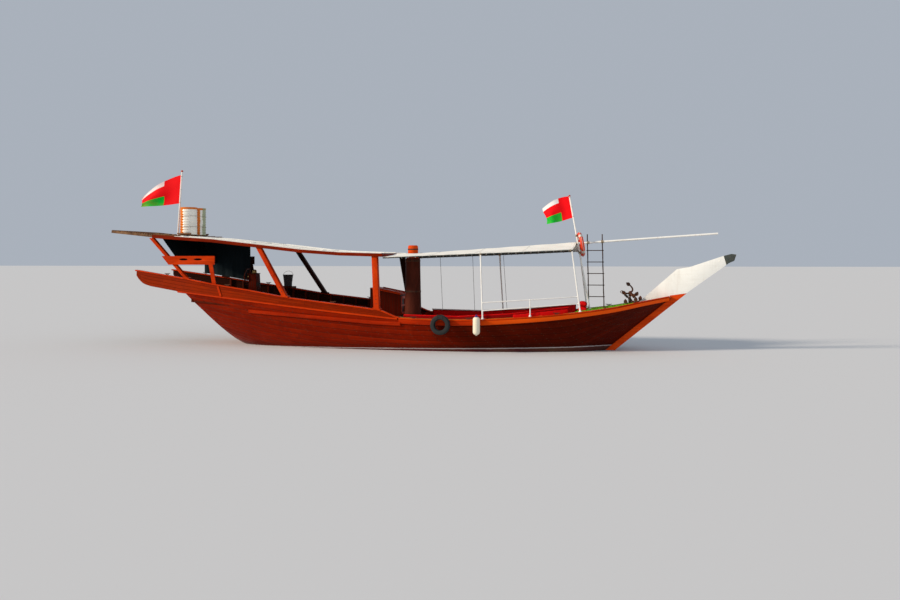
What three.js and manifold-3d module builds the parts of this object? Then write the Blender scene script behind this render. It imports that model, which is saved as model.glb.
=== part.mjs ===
// Wooden dhow with a raised stern shelter, a midship awning and a projecting bow plank.
// Millimetres. +X runs to the bow, +Y to port, +Z up. The origin is on the centreline
// at the waterline, close to midships.
import * as THREE from 'three';
import { mergeVertices } from 'three/addons/utils/BufferGeometryUtils.js';
import Module from 'manifold-3d';

const wasm = await Module();
wasm.setup();

// Fit between two pieces that touch
const gap = 0.3;

// Hull lines, one row a station: place along the boat, half breadth at the sheer,
// height of the sheer, height of the rabbet, fullness of the section, flare of the topside
const lineColumns = ['x', 'beam', 'sheer', 'rabbet', 'fullness', 'flare'];
const lineRows = [
  [-8900, 1400, 1750, 690, 0.52, 0.80],
  [-8000, 1520, 1665, 345, 0.50, 0.80],
  [-7000, 1630, 1560, -30, 0.48, 0.80],
  [-5600, 1760, 1415, -430, 0.46, 0.82],
  [-4200, 1860, 1270, -680, 0.45, 0.84],
  [-2500, 1935, 1110, -780, 0.43, 0.86],
  [-800, 1970, 975, -800, 0.42, 0.86],
  [1000, 1925, 958, -800, 0.44, 0.82],
  [2700, 1710, 1045, -800, 0.54, 0.70],
  [4000, 1360, 1160, -778, 0.72, 0.50],
  [5200, 960, 1320, 210, 0.86, 0.42],
  [6200, 530, 1520, 1033, 0.94, 0.36],
  [6900, 190, 1650, 1610, 1.00, 0.30],
];
const plankThickness = 55;
const keelHalfWidth = 75;

// Backbone
const keelBottom = -1100;
const stemRake = 0.823;
const stemFootX = 3905;
const stemHeadX = 7400;
const keelScarphX = 3600;
const propellerPostX = -5600;
const soleEndX = -6960;
const soleThickness = 80;

// Transom: a raked board, as points of its aft face from the water up
const transomFace = [[-6700, -330], [-6980, 0], [-7360, 400], [-8030, 1150], [-8640, 1760]];
const transomThickness = 70;

// Rail heights. The raised bulwark aft runs out past the transom as two wings
const bulwarkRows = [
  [-10500, 2430], [-9960, 2350], [-9240, 2250], [-8560, 2155], [-7420, 1965],
  [-6180, 1795], [-4930, 1590], [-3700, 1455], [-2560, 1330], [-1720, 1225], [-1180, 1005],
];
const wingLowRows = [[-10540, 2330], [-10410, 2150], [-10240, 2010], [-9960, 1925], [-9430, 1845], [-8910, 1765]];
const bulwarkThickness = 60;
const capThickness = 45;
const gunwaleBand = 145;
const bandProud = 50;
const strakeRows = [[-6240, 1215], [-4040, 1075], [-1880, 930], [-1100, 905]];
const strakeHeight = 130;

// Decks
const aftDeckRows = [[-8450, 1415], [-1640, 940]];
const deckThickness = 55;
const waistAftX = -1620;
const waistForeX = 4080;
const waistSoleTop = 250;
const boardThickness = 40;
const turfThickness = 28;
const turfX = [4100, 5820];

// Stern shelter
const roofRows = [[-9620, 3520], [-7540, 3375], [-5940, 3200], [-4450, 3030], [-3170, 2940], [-1800, 2900]];
const roofHalfWidth = 1660;
const roofCrown = 18;
const roofBoard = 26;
const plateHeight = 85;
const fasciaThickness = 28;
const overhangTipX = -11280;
const overhangTip = [3700, 3800];

// Raked posts, one row a pair: foot x, foot y, head x, head y, width
const postRows = {
  stern_post: [-8550, 1390, -9800, 1420, 150],
  mid_post: [-4930, 1765, -5930, 1545, 172],
  fore_post: [-1860, 1900, -2040, 1550, 180],
};
const boardX = [-9150, -7500];
const boardZ = [2640, 2925];
const boardY = 1485;
const slotX = [-8610, -8090];

// Midship awning
const awningX = [-1770, 4075];
const awningEdgeRows = [[-1770, 1590, 2888], [990, 1700, 2990], [2600, 1550, 3050], [4075, 1290, 3115]];
const ridgeStart = [-1120, 2968];
const ridgeEnd = [8320, 3590];
const ridgeRadius = 33;
const pipeRadius = 24;
const canvasThickness = 10;
const mast = { x: -1235, footZ: waistSoleTop, shoulderZ: 2850, headZ: 3270, footR: 285, shoulderR: 232, headR: 165 };

// Finishes: colour, roughness, metalness
const materials = {
  varnishedWood: ['#8a2c0c', 0.35, 0], orangePaint: ['#c4551a', 0.5, 0], darkWood: ['#3a1a12', 0.6, 0],
  bottomPaint: ['#5a1420', 0.7, 0], deckWood: ['#8a6a48', 0.75, 0], turf: ['#3f8a26', 0.95, 0],
  whitePaint: ['#f1efe6', 0.45, 0], greyPaint: ['#3c4a45', 0.6, 0], canvas: ['#efece0', 0.9, 0],
  tarp: ['#10181a', 0.85, 0], cushionRed: ['#b31218', 0.8, 0], bronze: ['#a5803c', 0.35, 1],
  iron: ['#3b2d28', 0.8, 0.6], rubber: ['#141414', 0.85, 0], drumSteel: ['#f0ead8', 0.5, 0.3],
  flagCloth: ['#d0141c', 0.8, 0], buoyRed: ['#e0301c', 0.6, 0], engine: ['#5f6a6a', 0.5, 0.5],
  thatch: ['#4c3020', 0.9, 0], fenderVinyl: ['#efe9d8', 0.5, 0],
};
const model = new THREE.Group();

function add(name, body, finish) {
  const [color, roughness, metalness] = materials[finish];
  const mesh = new THREE.Mesh(geometryOf(body), new THREE.MeshStandardMaterial({ color, roughness, metalness }));
  mesh.name = name;
  model.add(mesh);
  return mesh;
}

function addPair(name, make, finish) {
  add(`${name}_starboard`, make(-1), finish);
  add(`${name}_port`, make(1), finish);
}

// Booleans
function solidOf(geometry) {
  const clean = geometry.clone();
  clean.deleteAttribute('normal');
  clean.deleteAttribute('uv');
  const merged = mergeVertices(clean, 1e-3);
  return new wasm.Manifold(new wasm.Mesh({
    numProp: 3,
    vertProperties: new Float32Array(merged.attributes.position.array),
    triVerts: new Uint32Array(merged.index.array),
  }));
}

function geometryOf(solid) {
  const mesh = solid.getMesh();
  const geometry = new THREE.BufferGeometry();
  geometry.setAttribute('position', new THREE.BufferAttribute(new Float32Array(mesh.vertProperties), 3));
  geometry.setIndex(new THREE.BufferAttribute(new Uint32Array(mesh.triVerts), 1));
  geometry.computeVertexNormals();
  return geometry;
}

const joined = (first, ...rest) => rest.reduce((sum, solid) => sum.add(solid), first);

// A straight line through rows of x and value
function lineAt(rows, x, column = 1) {
  const last = rows.length - 1;
  const rising = rows[0][0] < rows[last][0];
  const at = (row) => (rising ? row[0] : -row[0]);
  const place = rising ? x : -x;
  if (place <= at(rows[0])) return rows[0][column];
  for (let i = 0; i < last; i += 1) {
    if (place > at(rows[i + 1])) continue;
    const share = (place - at(rows[i])) / (at(rows[i + 1]) - at(rows[i]));
    return rows[i][column] + share * (rows[i + 1][column] - rows[i][column]);
  }
  return rows[last][column];
}

// Hull values between stations, faired with a Catmull-Rom blend
function hullLine(name, x) {
  const column = lineColumns.indexOf(name);
  const rows = lineRows;
  const clamped = Math.min(Math.max(x, rows[0][0]), rows[rows.length - 1][0]);
  let i = rows.findIndex((row) => row[0] >= clamped) - 1;
  i = Math.max(i, 0);
  const slope = (k) => {
    const a = rows[Math.max(k - 1, 0)];
    const b = rows[Math.min(k + 1, rows.length - 1)];
    return (b[column] - a[column]) / (b[0] - a[0]);
  };
  const span = rows[i + 1][0] - rows[i][0];
  const t = (clamped - rows[i][0]) / span;
  if (name === 'rabbet' && rows[i][0] >= 4000) return lineAt(rows, clamped, column);
  const h1 = (1 + 2 * t) * (1 - t) ** 2;
  const h2 = t * (1 - t) ** 2 * span;
  const h3 = t * t * (3 - 2 * t);
  const h4 = t * t * (t - 1) * span;
  return h1 * rows[i][column] + h2 * slope(i) + h3 * rows[i + 1][column] + h4 * slope(i + 1);
}

const sheerAt = (x) => hullLine('sheer', x);
const rabbetAt = (x) => hullLine('rabbet', x);
// Past the last stations the rail keeps narrowing along the run of the planks
function beamAt(x) {
  const aftX = lineRows[0][0];
  return x < aftX ? lineRows[0][1] + (x - aftX) * 0.11 : hullLine('beam', x);
}

// Half breadth of the planked hull at a height
function halfBreadth(x, z) {
  const low = rabbetAt(x);
  const share = Math.min(Math.max((z - low) / (sheerAt(x) - low), 0), 1);
  const flare = hullLine('flare', x) * Math.PI / 2;
  const form = (Math.sin(share * flare) / Math.sin(flare)) ** hullLine('fullness', x);
  return keelHalfWidth + (hullLine('beam', x) - keelHalfWidth) * form;
}

// A solid from points and triangles, turned so that its faces point out
function solidFrom(points, triangles) {
  const mesh = (index) => new wasm.Manifold(new wasm.Mesh({
    numProp: 3, vertProperties: new Float32Array(points.flat()), triVerts: new Uint32Array(index.flat()),
  }));
  const solid = mesh(triangles);
  return solid.volume() > 0 ? solid : mesh(triangles.map(([a, b, c]) => [b, a, c]));
}

// A closed solid through rings of points, each ring one section of the same count
function skin(rings) {
  const count = rings[0].length;
  const triangles = [];
  for (let r = 0; r + 1 < rings.length; r += 1) {
    for (let k = 0; k < count; k += 1) {
      const a = r * count + k;
      const b = r * count + (k + 1) % count;
      triangles.push([a, a + count, b], [b, a + count, b + count]);
    }
  }
  const cap = (ring) => {
    const flat = ring.map((point) => new THREE.Vector2(point[1], point[2]));
    const facing = Math.sign(THREE.ShapeUtils.area(flat));
    return THREE.ShapeUtils.triangulateShape(flat, []).map(([a, b, c]) => (
      Math.sign(THREE.ShapeUtils.area([flat[a], flat[b], flat[c]])) === facing ? [a, b, c] : [b, a, c]));
  };
  const start = (rings.length - 1) * count;
  for (const [a, b, c] of cap(rings[0])) triangles.push([a, b, c]);
  for (const [a, b, c] of cap(rings[rings.length - 1])) triangles.push([start + a, start + c, start + b]);
  return solidFrom(rings.flat(), triangles);
}

// A strip that runs along the boat: section(x) gives its outline as y and z on the port side
function alongHull(places, section, side) {
  return skin(places.map((x) => section(x).map(([y, z]) => [x, y * side, z])));
}

function spaced(from, to, count) {
  return Array.from({ length: count + 1 }, (_, i) => from + (to - from) * i / count);
}

// The common places along the hull, so that every piece that follows it shares its facets
const hullPlaces = spaced(lineRows[0][0], 6900, 38);
function placesBetween(from, to) {
  return [from, ...hullPlaces.filter((x) => x > from + 20 && x < to - 20), to];
}

// An outline in the XZ plane, given a width across the boat
function profile(points, y0, y1, holes = []) {
  const shape = new THREE.Shape(points.map(([x, z]) => new THREE.Vector2(x, z)));
  for (const hole of holes) shape.holes.push(hole);
  const geometry = new THREE.ExtrudeGeometry(shape, { depth: y1 - y0, bevelEnabled: false, curveSegments: 6 });
  geometry.rotateX(Math.PI / 2);
  geometry.translate(0, y1, 0);
  return solidOf(geometry);
}

function block(x0, x1, y0, y1, z0, z1) {
  const geometry = new THREE.BoxGeometry(x1 - x0, y1 - y0, z1 - z0);
  geometry.translate((x0 + x1) / 2, (y0 + y1) / 2, (z0 + z1) / 2);
  return solidOf(geometry);
}

// All that lies below a surface along the boat, for trimming what stands on it
function below(places, top) {
  const [wide, deep] = [2500, -1500];
  return skin(places.map((x) => [[x, -wide, deep], [x, wide, deep], [x, wide, top(x) + gap], [x, -wide, top(x) + gap]]));
}

// A round bar between two points
function bar(from, to, radius, sides = 10) {
  const a = new THREE.Vector3(...from);
  const b = new THREE.Vector3(...to);
  const geometry = new THREE.CylinderGeometry(radius, radius, a.distanceTo(b), sides);
  const turn = new THREE.Quaternion().setFromUnitVectors(new THREE.Vector3(0, 1, 0), b.clone().sub(a).normalize());
  geometry.applyQuaternion(turn);
  geometry.translate(...a.add(b).multiplyScalar(0.5).toArray());
  return solidOf(geometry);
}

// A turned shape about an upright axis: profile rows of radius and height
function turned(rows, x, y, sides = 20) {
  const geometry = new THREE.LatheGeometry(rows.map(([r, z]) => new THREE.Vector2(r, z)), sides);
  geometry.rotateX(Math.PI / 2);
  geometry.translate(x, y, 0);
  return solidOf(geometry);
}

// Hull planking: the outer form less the inner one
function hullForm(inset, raise) {
  const shares = [0, 0.04, 0.1, 0.18, 0.28, 0.38, 0.5, 0.62, 0.75, 0.88, 1];
  const rings = hullPlaces.map((x) => {
    const low = rabbetAt(x) + inset;
    const top = sheerAt(x) + raise;
    const half = shares.map((share) => {
      const z = low + (top - low) * share;
      const y = Math.max(halfBreadth(x, z) - inset, share === 0 ? 20 : 24);
      return [y, z];
    });
    const starboard = half.map(([y, z]) => [x, -y, z]).reverse();
    return [...half.map(([y, z]) => [x, y, z]), ...starboard];
  });
  return skin(rings);
}

// Everything aft of the transom's face, moved forward by a distance
function aftOfTransom(forward) {
  const face = transomFace.map(([x, z]) => [x + forward, z]);
  const [lowX, lowZ] = face[0];
  const [topX, topZ] = face[face.length - 1];
  return profile([[lowX + 300, lowZ - 320], ...face, [topX - 400, topZ + 400], [-12000, topZ + 400],
    [-12000, lowZ - 320]], -2500, 2500);
}

const slope = Math.SQRT2;
const outerHull = hullForm(0, 0);
const innerHull = hullForm(plankThickness, 400);
const roomInside = hullForm(plankThickness + gap, 400);
const outsideCut = hullForm(-gap * 3, gap);
const insideTransom = transomThickness * slope + gap * 2;

// Engine, its bed and the shaft line
const engineBox = { x: [-4700, -3400], y: 340, z: [-300, 500] };
const shaftZ = -700;
const rudderX = -6290;

function hull() {
  const shell = outerHull.subtract(innerHull).subtract(aftOfTransom(transomThickness * slope + gap));
  const bed = block(engineBox.x[0] - 150, engineBox.x[1] + 150, -engineBox.y, engineBox.y, -1000, engineBox.z[0] - gap)
    .intersect(hullForm(plankThickness / 2, 0));
  const boss = turned([[0, -400], [70, -400], [70, -180], [0, -180]], rudderX, 0, 16)
    .subtract(block(-6500, -6000, -100, 100, -500, -320));
  return joined(shell, bed, boss);
}
add('hull', hull(), 'varnishedWood');

function transom() {
  return outerHull.subtract(aftOfTransom(0)).intersect(aftOfTransom(transomThickness * slope));
}
add('transom', transom(), 'varnishedWood');

function keel() {
  const top = placesBetween(propellerPostX, keelScarphX).map((x) => [x, rabbetAt(x) - gap]);
  const wood = profile([[soleEndX, keelBottom], [keelScarphX, keelBottom], ...top.reverse(),
    [propellerPostX, keelBottom + soleThickness], [soleEndX, keelBottom + soleThickness]], -keelHalfWidth, keelHalfWidth);
  return wood.add(bar([propellerPostX - 45, 0, shaftZ], [propellerPostX + 200, 0, shaftZ], 90, 16));
}
add('keel', keel(), 'bottomPaint');

const stemTopZ = 1705;
function stem() {
  const rabbet = placesBetween(keelScarphX + gap, 6900).map((x) => [x, rabbetAt(x) - gap]);
  const headAft = 6900 + gap;
  return profile([[keelScarphX + gap, keelBottom], [stemFootX, keelBottom],
    [stemHeadX, keelBottom + (stemHeadX - stemFootX) * stemRake],
    [headAft, stemTopZ], ...rabbet.reverse()], -65, 65);
}
add('stem', stem(), 'varnishedWood');

// Gunwale: a cap over the topside plank, a band outside it, and the rubbing strake that
// runs aft from the band along the raised part
const gunwalePlaces = placesBetween(-1150, 6890);
const gunwaleTop = (x) => sheerAt(x) + capThickness;
const onGunwale = below(gunwalePlaces, gunwaleTop);
function gunwale(side) {
  const capped = alongHull(gunwalePlaces, (x) => {
    const top = gunwaleTop(x);
    const out = beamAt(x) + bandProud;
    const inner = Math.max(beamAt(x) - 130, 68);
    const band = sheerAt(x) - gunwaleBand * (x < 1500 ? 1 : 1 - 0.25 * (x - 1500) / 5400);
    return [[inner, sheerAt(x) + gap], [beamAt(x) + gap, sheerAt(x) + gap], [halfBreadth(x, band) + gap, band],
      [out, band], [out, top - 14], [out - 14, top], [inner, top]];
  }, side);
  const strake = alongHull(placesBetween(strakeRows[0][0], -1100), (x) => {
    const top = lineAt(strakeRows, x);
    const low = top - strakeHeight;
    return [[halfBreadth(x, low) + gap, low], [halfBreadth(x, low) + bandProud + 8, low + 18],
      [halfBreadth(x, top) + bandProud + 8, top - 18], [halfBreadth(x, top) + gap, top]];
  }, side);
  return capped.add(strake).subtract(outsideCut);
}
addPair('gunwale', gunwale, 'orangePaint');

const railPlaces = [-10540, ...bulwarkRows.slice(1, 3).map((row) => row[0]), ...placesBetween(-8700, -1160)];
const railTop = (x) => Math.max(lineAt(bulwarkRows, x), sheerAt(x) + 20) + capThickness - 4;
const onRail = below(railPlaces, railTop);

// Raised bulwark with its cap rail; aft of the transom its lower edge sweeps up to the tip
function bulwark(side) {
  const low = (x) => (x < -8905 ? lineAt(wingLowRows, x) : sheerAt(x) + gap);
  const wall = alongHull([-10500, ...wingLowRows.slice(1).map((row) => row[0]), ...placesBetween(-8900, -1180)],
    (x) => {
      const top = Math.max(lineAt(bulwarkRows, x), low(x) + 12);
      const out = beamAt(x);
      return [[out, low(x)], [out, top], [out - bulwarkThickness, top], [out - bulwarkThickness, low(x)]];
    }, side);
  const cap = alongHull(railPlaces, (x) => {
    const seat = railTop(x) - capThickness;
    const out = beamAt(x) + 32;
    return [[out, seat], [out, railTop(x)], [out - 140, railTop(x)], [out - 140, seat]];
  }, side);
  return wall.add(cap).subtract(outsideCut);
}
addPair('aft_bulwark', bulwark, 'varnishedWood');

const inHull = (solid) => solid.intersect(roomInside).subtract(aftOfTransom(insideTransom));

function aftDeck() {
  const [[aftX, aftZ], [foreX, foreZ]] = aftDeckRows;
  return inHull(profile([[aftX, aftZ], [aftX, aftZ - deckThickness], [foreX, foreZ - deckThickness], [foreX, foreZ]],
    -2200, 2200));
}
add('aft_deck', aftDeck(), 'deckWood');

// The waist: a sole between two bulkheads, with a low hatch cover along its middle
const hatch = { x: [200, 2600], y: 240, rise: 25 };
function waistWell() {
  const foreTop = sheerAt(waistForeX - boardThickness) - deckThickness - 1;
  const aftTop = aftDeckRows[1][1] - gap;
  return inHull(profile([[waistAftX, aftTop], [waistAftX, waistSoleTop - boardThickness],
    [waistForeX, waistSoleTop - boardThickness], [waistForeX, foreTop], [waistForeX - boardThickness, foreTop],
    [waistForeX - boardThickness, waistSoleTop], [waistAftX + boardThickness, waistSoleTop],
    [waistAftX + boardThickness, aftTop]], -2200, 2200))
    .add(block(...hatch.x, -hatch.y, hatch.y, waistSoleTop - 10, waistSoleTop + hatch.rise));
}
add('waist_well', waistWell(), 'deckWood');

const foredeckPlaces = [waistForeX - boardThickness, ...placesBetween(...turfX),
  ...placesBetween(turfX[1], 6800).slice(1)];
const onForedeck = below(foredeckPlaces, sheerAt);
function foredeck() {
  const top = foredeckPlaces.map((x) => [x, sheerAt(x)]);
  const low = foredeckPlaces.map((x) => [x, sheerAt(x) - deckThickness]);
  return inHull(profile([...top, ...low.reverse()], -1500, 1500));
}
add('foredeck', foredeck(), 'deckWood');

const turfPlaces = placesBetween(...turfX);
const turfTop = (x) => sheerAt(x) + gap + turfThickness;
const onTurf = below(turfPlaces, turfTop);
function turf() {
  return skin(turfPlaces.map((x) => {
    const y = beamAt(x) - 140;
    const z = sheerAt(x) + gap;
    return [[x, y, z], [x, y, turfTop(x)], [x, -y, turfTop(x)], [x, -y, z]];
  }));
}
add('foredeck_turf', turf(), 'turf');

// Engine as one plain mass on its bed
add('engine_block', block(...engineBox.x, -engineBox.y + 40, engineBox.y - 40, ...engineBox.z), 'engine');

// Propeller: a hub, a shaft end and three twisted blades, turned about its shaft line
const propeller = { radius: 280, hubRadius: 55, hub: [-5860, -5700], blades: 3 };
function propellerSolid() {
  const shaft = bar([propeller.hub[1] - 5, 0, shaftZ], [propellerPostX - 45.5, 0, shaftZ], 27, 12);
  const hub = bar([propeller.hub[0], 0, shaftZ], [propeller.hub[1], 0, shaftZ], propeller.hubRadius, 16);
  const blade = new THREE.Shape();
  blade.moveTo(-50, 30);
  blade.bezierCurveTo(-130, 120, -120, 260, 0, propeller.radius);
  blade.bezierCurveTo(110, 250, 110, 120, 45, 30);
  const flat = new THREE.ExtrudeGeometry(blade, { depth: 12, bevelEnabled: false, curveSegments: 7 });
  flat.translate(0, 0, -6);
  const middle = (propeller.hub[0] + propeller.hub[1]) / 2;
  const blades = Array.from({ length: propeller.blades }, (_, i) => {
    const geometry = flat.clone();
    geometry.rotateY(THREE.MathUtils.degToRad(58));
    geometry.rotateX(Math.PI / 2 + i * 2 * Math.PI / propeller.blades);
    geometry.translate(middle, 0, shaftZ);
    return solidOf(geometry);
  });
  return joined(hub, shaft, ...blades);
}
add('propeller', propellerSolid(), 'bronze');

// Rudder: a plate under the counter on an upright stock, stepped on the sole of the keel
function rudder() {
  const soleTop = keelBottom + soleThickness;
  const plate = profile([[rudderX + 85, soleTop + 45], [rudderX + 85, -400], [rudderX - 80, -345],
    [rudderX - 600, -215], [rudderX - 610, soleTop + 90], [rudderX - 560, soleTop + 45]], -24, 24);
  const stock = bar([rudderX, 0, soleTop + 0.5], [rudderX, 0, -320.5], 32, 16);
  return plate.add(stock);
}
add('rudder', rudder(), 'bottomPaint');

// Bow plank, a flat board on the centreline that carries on the line of the stem
function bowPlank() {
  return profile([[5920, 1450], [6799, 1560], [6800, sheerAt(6800) + gap * 2],
    [6899.9, sheerAt(6900) + gap * 2], [6899.9, stemTopZ + gap * 2], [7390, 1779], [8560, 2640],
    [8480, 2915], [7500, 2580], [7110, 2510]], -55, 55).subtract(onForedeck);
}
add('bow_plank', bowPlank(), 'whitePaint');
add('bow_plank_tip', profile([[8560.4, 2640.2], [8640, 2700], [8790, 2765], [8850, 2955], [8710, 2975], [8480.4, 2915.2]],
  -60, 60), 'greyPaint');

// Stern shelter
const roofLow = (x) => lineAt(roofRows, x);
function postPair(name, [footX, footY, headX, headY, width]) {
  addPair(name, (side) => {
    const rail = (x) => railTop(x) - 30;
    const corner = (x, y, z) => [x, y * side, z];
    const half = width / 2;
    const ring = (x, y, z) => [corner(x - half, y - half, z(x - half)), corner(x + half, y - half, z(x + half)),
      corner(x + half, y + half, z(x + half)), corner(x - half, y + half, z(x - half))];
    const foot = ring(footX, footY, rail);
    const head = ring(headX, headY, (x) => roofLow(x) - gap);
    return uprights(foot, head).subtract(onRail);
  }, 'orangePaint');
}

// A four-sided solid between a lower and an upper ring
function uprights(foot, head) {
  const triangles = [[0, 2, 1], [0, 3, 2], [4, 5, 6], [4, 6, 7]];
  for (let k = 0; k < 4; k += 1) {
    const n = (k + 1) % 4;
    triangles.push([k, n, n + 4], [k, n + 4, k + 4]);
  }
  return solidFrom([...foot, ...head], triangles);
}
for (const [name, row] of Object.entries(postRows)) postPair(name, row);

// Slotted side board with the short post under its fore end
function sideBoard(side) {
  const slots = slotX.map((x) => {
    const hole = new THREE.Path();
    hole.absellipse(x, 2815, 150, 32, 0, Math.PI * 2);
    return hole;
  });
  const [y0, y1] = side > 0 ? [boardY, boardY + 38] : [-boardY - 38, -boardY];
  const board = profile([[boardX[0], boardZ[0]], [boardX[1], boardZ[0]], [boardX[1], boardZ[1]], [boardX[0] - 250, boardZ[1]]],
    y0, y1, slots);
  const footZ = railTop(-7449) - 30;
  const shortPost = profile([[-7585, footZ], [-7449, footZ], [-7570, boardZ[0] + 20], [-7710, boardZ[0] + 20]],
    Math.min(y0 + 4 * side, y1 + 4 * side), Math.max(y0 + 4 * side, y1 + 4 * side));
  return board.add(shortPost).subtract(onRail);
}
addPair('side_board', sideBoard, 'orangePaint');

const roofEnds = [roofRows[0][0], roofRows[roofRows.length - 1][0]];
const roofPlaces = [...new Set([...roofRows.map((row) => row[0]), ...spaced(...roofEnds, 10)])].sort((a, b) => a - b);
const crownAt = (y) => roofCrown * (1 - (y / roofHalfWidth) ** 2);

// Two plates along the sides with beams across them
function roofFrame() {
  const plates = [-1, 1].map((side) => alongHull(roofPlaces, (x) => {
    const z = roofLow(x);
    return [[1620, z], [1620, z + plateHeight], [1500, z + plateHeight], [1500, z]];
  }, side));
  const stern = [-1, 1].map((side) => alongHull([roofEnds[0], -8300], (x) => {
    const z = roofLow(x);
    return [[1510, z], [1510, z + plateHeight], [1300, z + plateHeight], [1300, z]];
  }, side));
  const beams = spaced(roofEnds[0] + 60, roofEnds[1] - 60, 8).map((x) => {
    const z = roofLow(x) + 8;
    return block(x - 40, x + 40, -1560, 1560, z, z + 50);
  });
  return joined(plates[0], plates[1], ...stern, ...beams);
}
add('roof_frame', roofFrame(), 'varnishedWood');

function roofSheet() {
  const across = [-1, -0.75, -0.5, -0.25, 0, 0.25, 0.5, 0.75, 1].map((share) => share * roofHalfWidth);
  return skin(roofPlaces.map((x) => {
    const base = roofLow(x) + plateHeight + gap * 2;
    const under = across.map((y) => [x, y, base + crownAt(y)]);
    const over = across.map((y) => [x, y, base + crownAt(y) + roofBoard]).reverse();
    return [...under, ...over];
  }));
}
add('aft_roof', roofSheet(), 'whitePaint');

// Fascia boards round the roof's edge, in one frame
function fascia() {
  const sides = [-1, 1].map((side) => alongHull(roofPlaces, (x) => {
    const z = roofLow(x);
    const inner = roofHalfWidth + gap;
    return [[inner, z - 8], [inner + fasciaThickness, z - 8], [inner + fasciaThickness, z + plateHeight + 10],
      [inner, z + plateHeight + 10]];
  }, side));
  const width = roofHalfWidth + gap + fasciaThickness;
  const ends = roofEnds.map((x, i) => {
    const z = roofLow(x);
    const [x0, x1] = i === 0 ? [x - fasciaThickness - gap, x - gap] : [x + gap, x + fasciaThickness + gap];
    return block(x0, x1, -width, width, z - 8, z + plateHeight + 10);
  });
  const corners = [-1, 1].flatMap((side) => roofEnds.map((x) => {
    const y = side * (width - fasciaThickness / 2);
    return block(x - 30, x + 30, y - fasciaThickness / 2, y + fasciaThickness / 2, roofLow(x) - 6, roofLow(x) + plateHeight);
  }));
  return joined(sides[0], sides[1], ...ends, ...corners);
}
add('roof_fascia', fascia(), 'orangePaint');

// Slatted overhang that carries the roof on past the stern
const overhangRoot = { x: roofEnds[0] - fasciaThickness - gap * 2, low: roofLow(roofEnds[0]) + 12, thickness: 105 };
const overhangTopRows = [[overhangTipX, overhangTip[1]], [overhangRoot.x, overhangRoot.low + overhangRoot.thickness]];
function overhang() {
  const { x: rootX, low: rootLow, thickness } = overhangRoot;
  return skin([[overhangTipX, ...overhangTip, 1480], [rootX, rootLow, rootLow + thickness, 1500]]
    .map(([x, low, high, half]) => [[x, half, low], [x, half, high], [x, -half, high], [x, -half, low]]));
}
add('roof_overhang', overhang(), 'thatch');

// Weather curtain: down the port side and across between the stern posts
function curtain() {
  const [portAft, portFore] = [-9080, -7560];
  const ring = (x, z) => [[x, 1306, z], [x + 12, 1306, z], [x + 12, -1306, z], [x, -1306, z]];
  const across = uprights(ring(-8850, 2670), ring(-9490, 3500));
  const down = alongHull([portAft - 260, portFore], (x) => [[1298, railTop(x) + 30], [1310, railTop(x) + 30],
    [1310, roofLow(x) - gap * 2], [1298, roofLow(x) - gap * 2]], 1);
  return across.add(down);
}

// Mast stump: a heavy trunk with a narrower head
function mastStump() {
  const { x, footZ, shoulderZ, headZ, footR, shoulderR, headR } = mast;
  const rows = [[0, footZ + gap], [footR, footZ + gap], [shoulderR, shoulderZ], [headR, shoulderZ + 60],
    [headR, headZ - 40], [headR - 35, headZ], [0, headZ]];
  return turned(rows, x, 0, 20);
}
add('mast', mastStump(), 'darkWood');

// Ridge pole from the mast out over the bow
const ridgeAt = (x) => ridgeStart[1] + (x - ridgeStart[0]) * (ridgeEnd[1] - ridgeStart[1]) / (ridgeEnd[0] - ridgeStart[0]);
const mastFore = mast.x + mast.headR;
add('ridge_pole', bar([mastFore + 3, 0, ridgeAt(mastFore)], [ridgeEnd[0], 0, ridgeEnd[1]], ridgeRadius, 12), 'whitePaint');

// Awning frame: side pipes, a front pipe and four upright pipes
const edgeY = (x) => lineAt(awningEdgeRows, x, 1);
const edgeZ = (x) => lineAt(awningEdgeRows, x, 2);
const pipeZ = (x) => edgeZ(x) - pipeRadius - 2;
const frontX = 4045;
function awningFrame() {
  const stations = [roofEnds[1] + fasciaThickness + gap * 2, 990, 2600, frontX];
  const sides = [-1, 1].flatMap((side) => stations.slice(0, -1).map((x, i) => {
    const next = stations[i + 1];
    return bar([x, edgeY(x) * side, pipeZ(x)], [next, edgeY(next) * side, pipeZ(next)], pipeRadius, 8);
  }));
  const balls = [-1, 1].flatMap((side) => stations.slice(1).map((x) => {
    const ball = new THREE.SphereGeometry(pipeRadius + 3, 8, 6);
    ball.translate(x, edgeY(x) * side, pipeZ(x));
    return solidOf(ball);
  }));
  const front = bar([frontX, -edgeY(frontX), pipeZ(frontX)], [frontX, edgeY(frontX), pipeZ(frontX)], pipeRadius, 8);
  return joined(front, ...sides, ...balls);
}
add('awning_frame', awningFrame(), 'whitePaint');

// Upright pipes: foot x, head x
const pipeRows = { mid_pipe: [1430, 1330], fore_pipe: [4290, 4045] };
for (const [name, [footX, headX]] of Object.entries(pipeRows)) {
  addPair(name, (side) => {
    const footY = (beamAt(footX) - 40) * side;
    const foot = [footX, footY, gunwaleTop(footX) - 60];
    const headZ = pipeZ(headX) - pipeRadius - 3.5;
    const pipe = bar(foot, [headX, edgeY(headX) * side, headZ + 20], pipeRadius);
    return pipe.subtract(onGunwale).subtract(block(headX - 200, headX + 200, -2500, 2500, headZ, headZ + 200));
  }, 'whitePaint');
}

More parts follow.
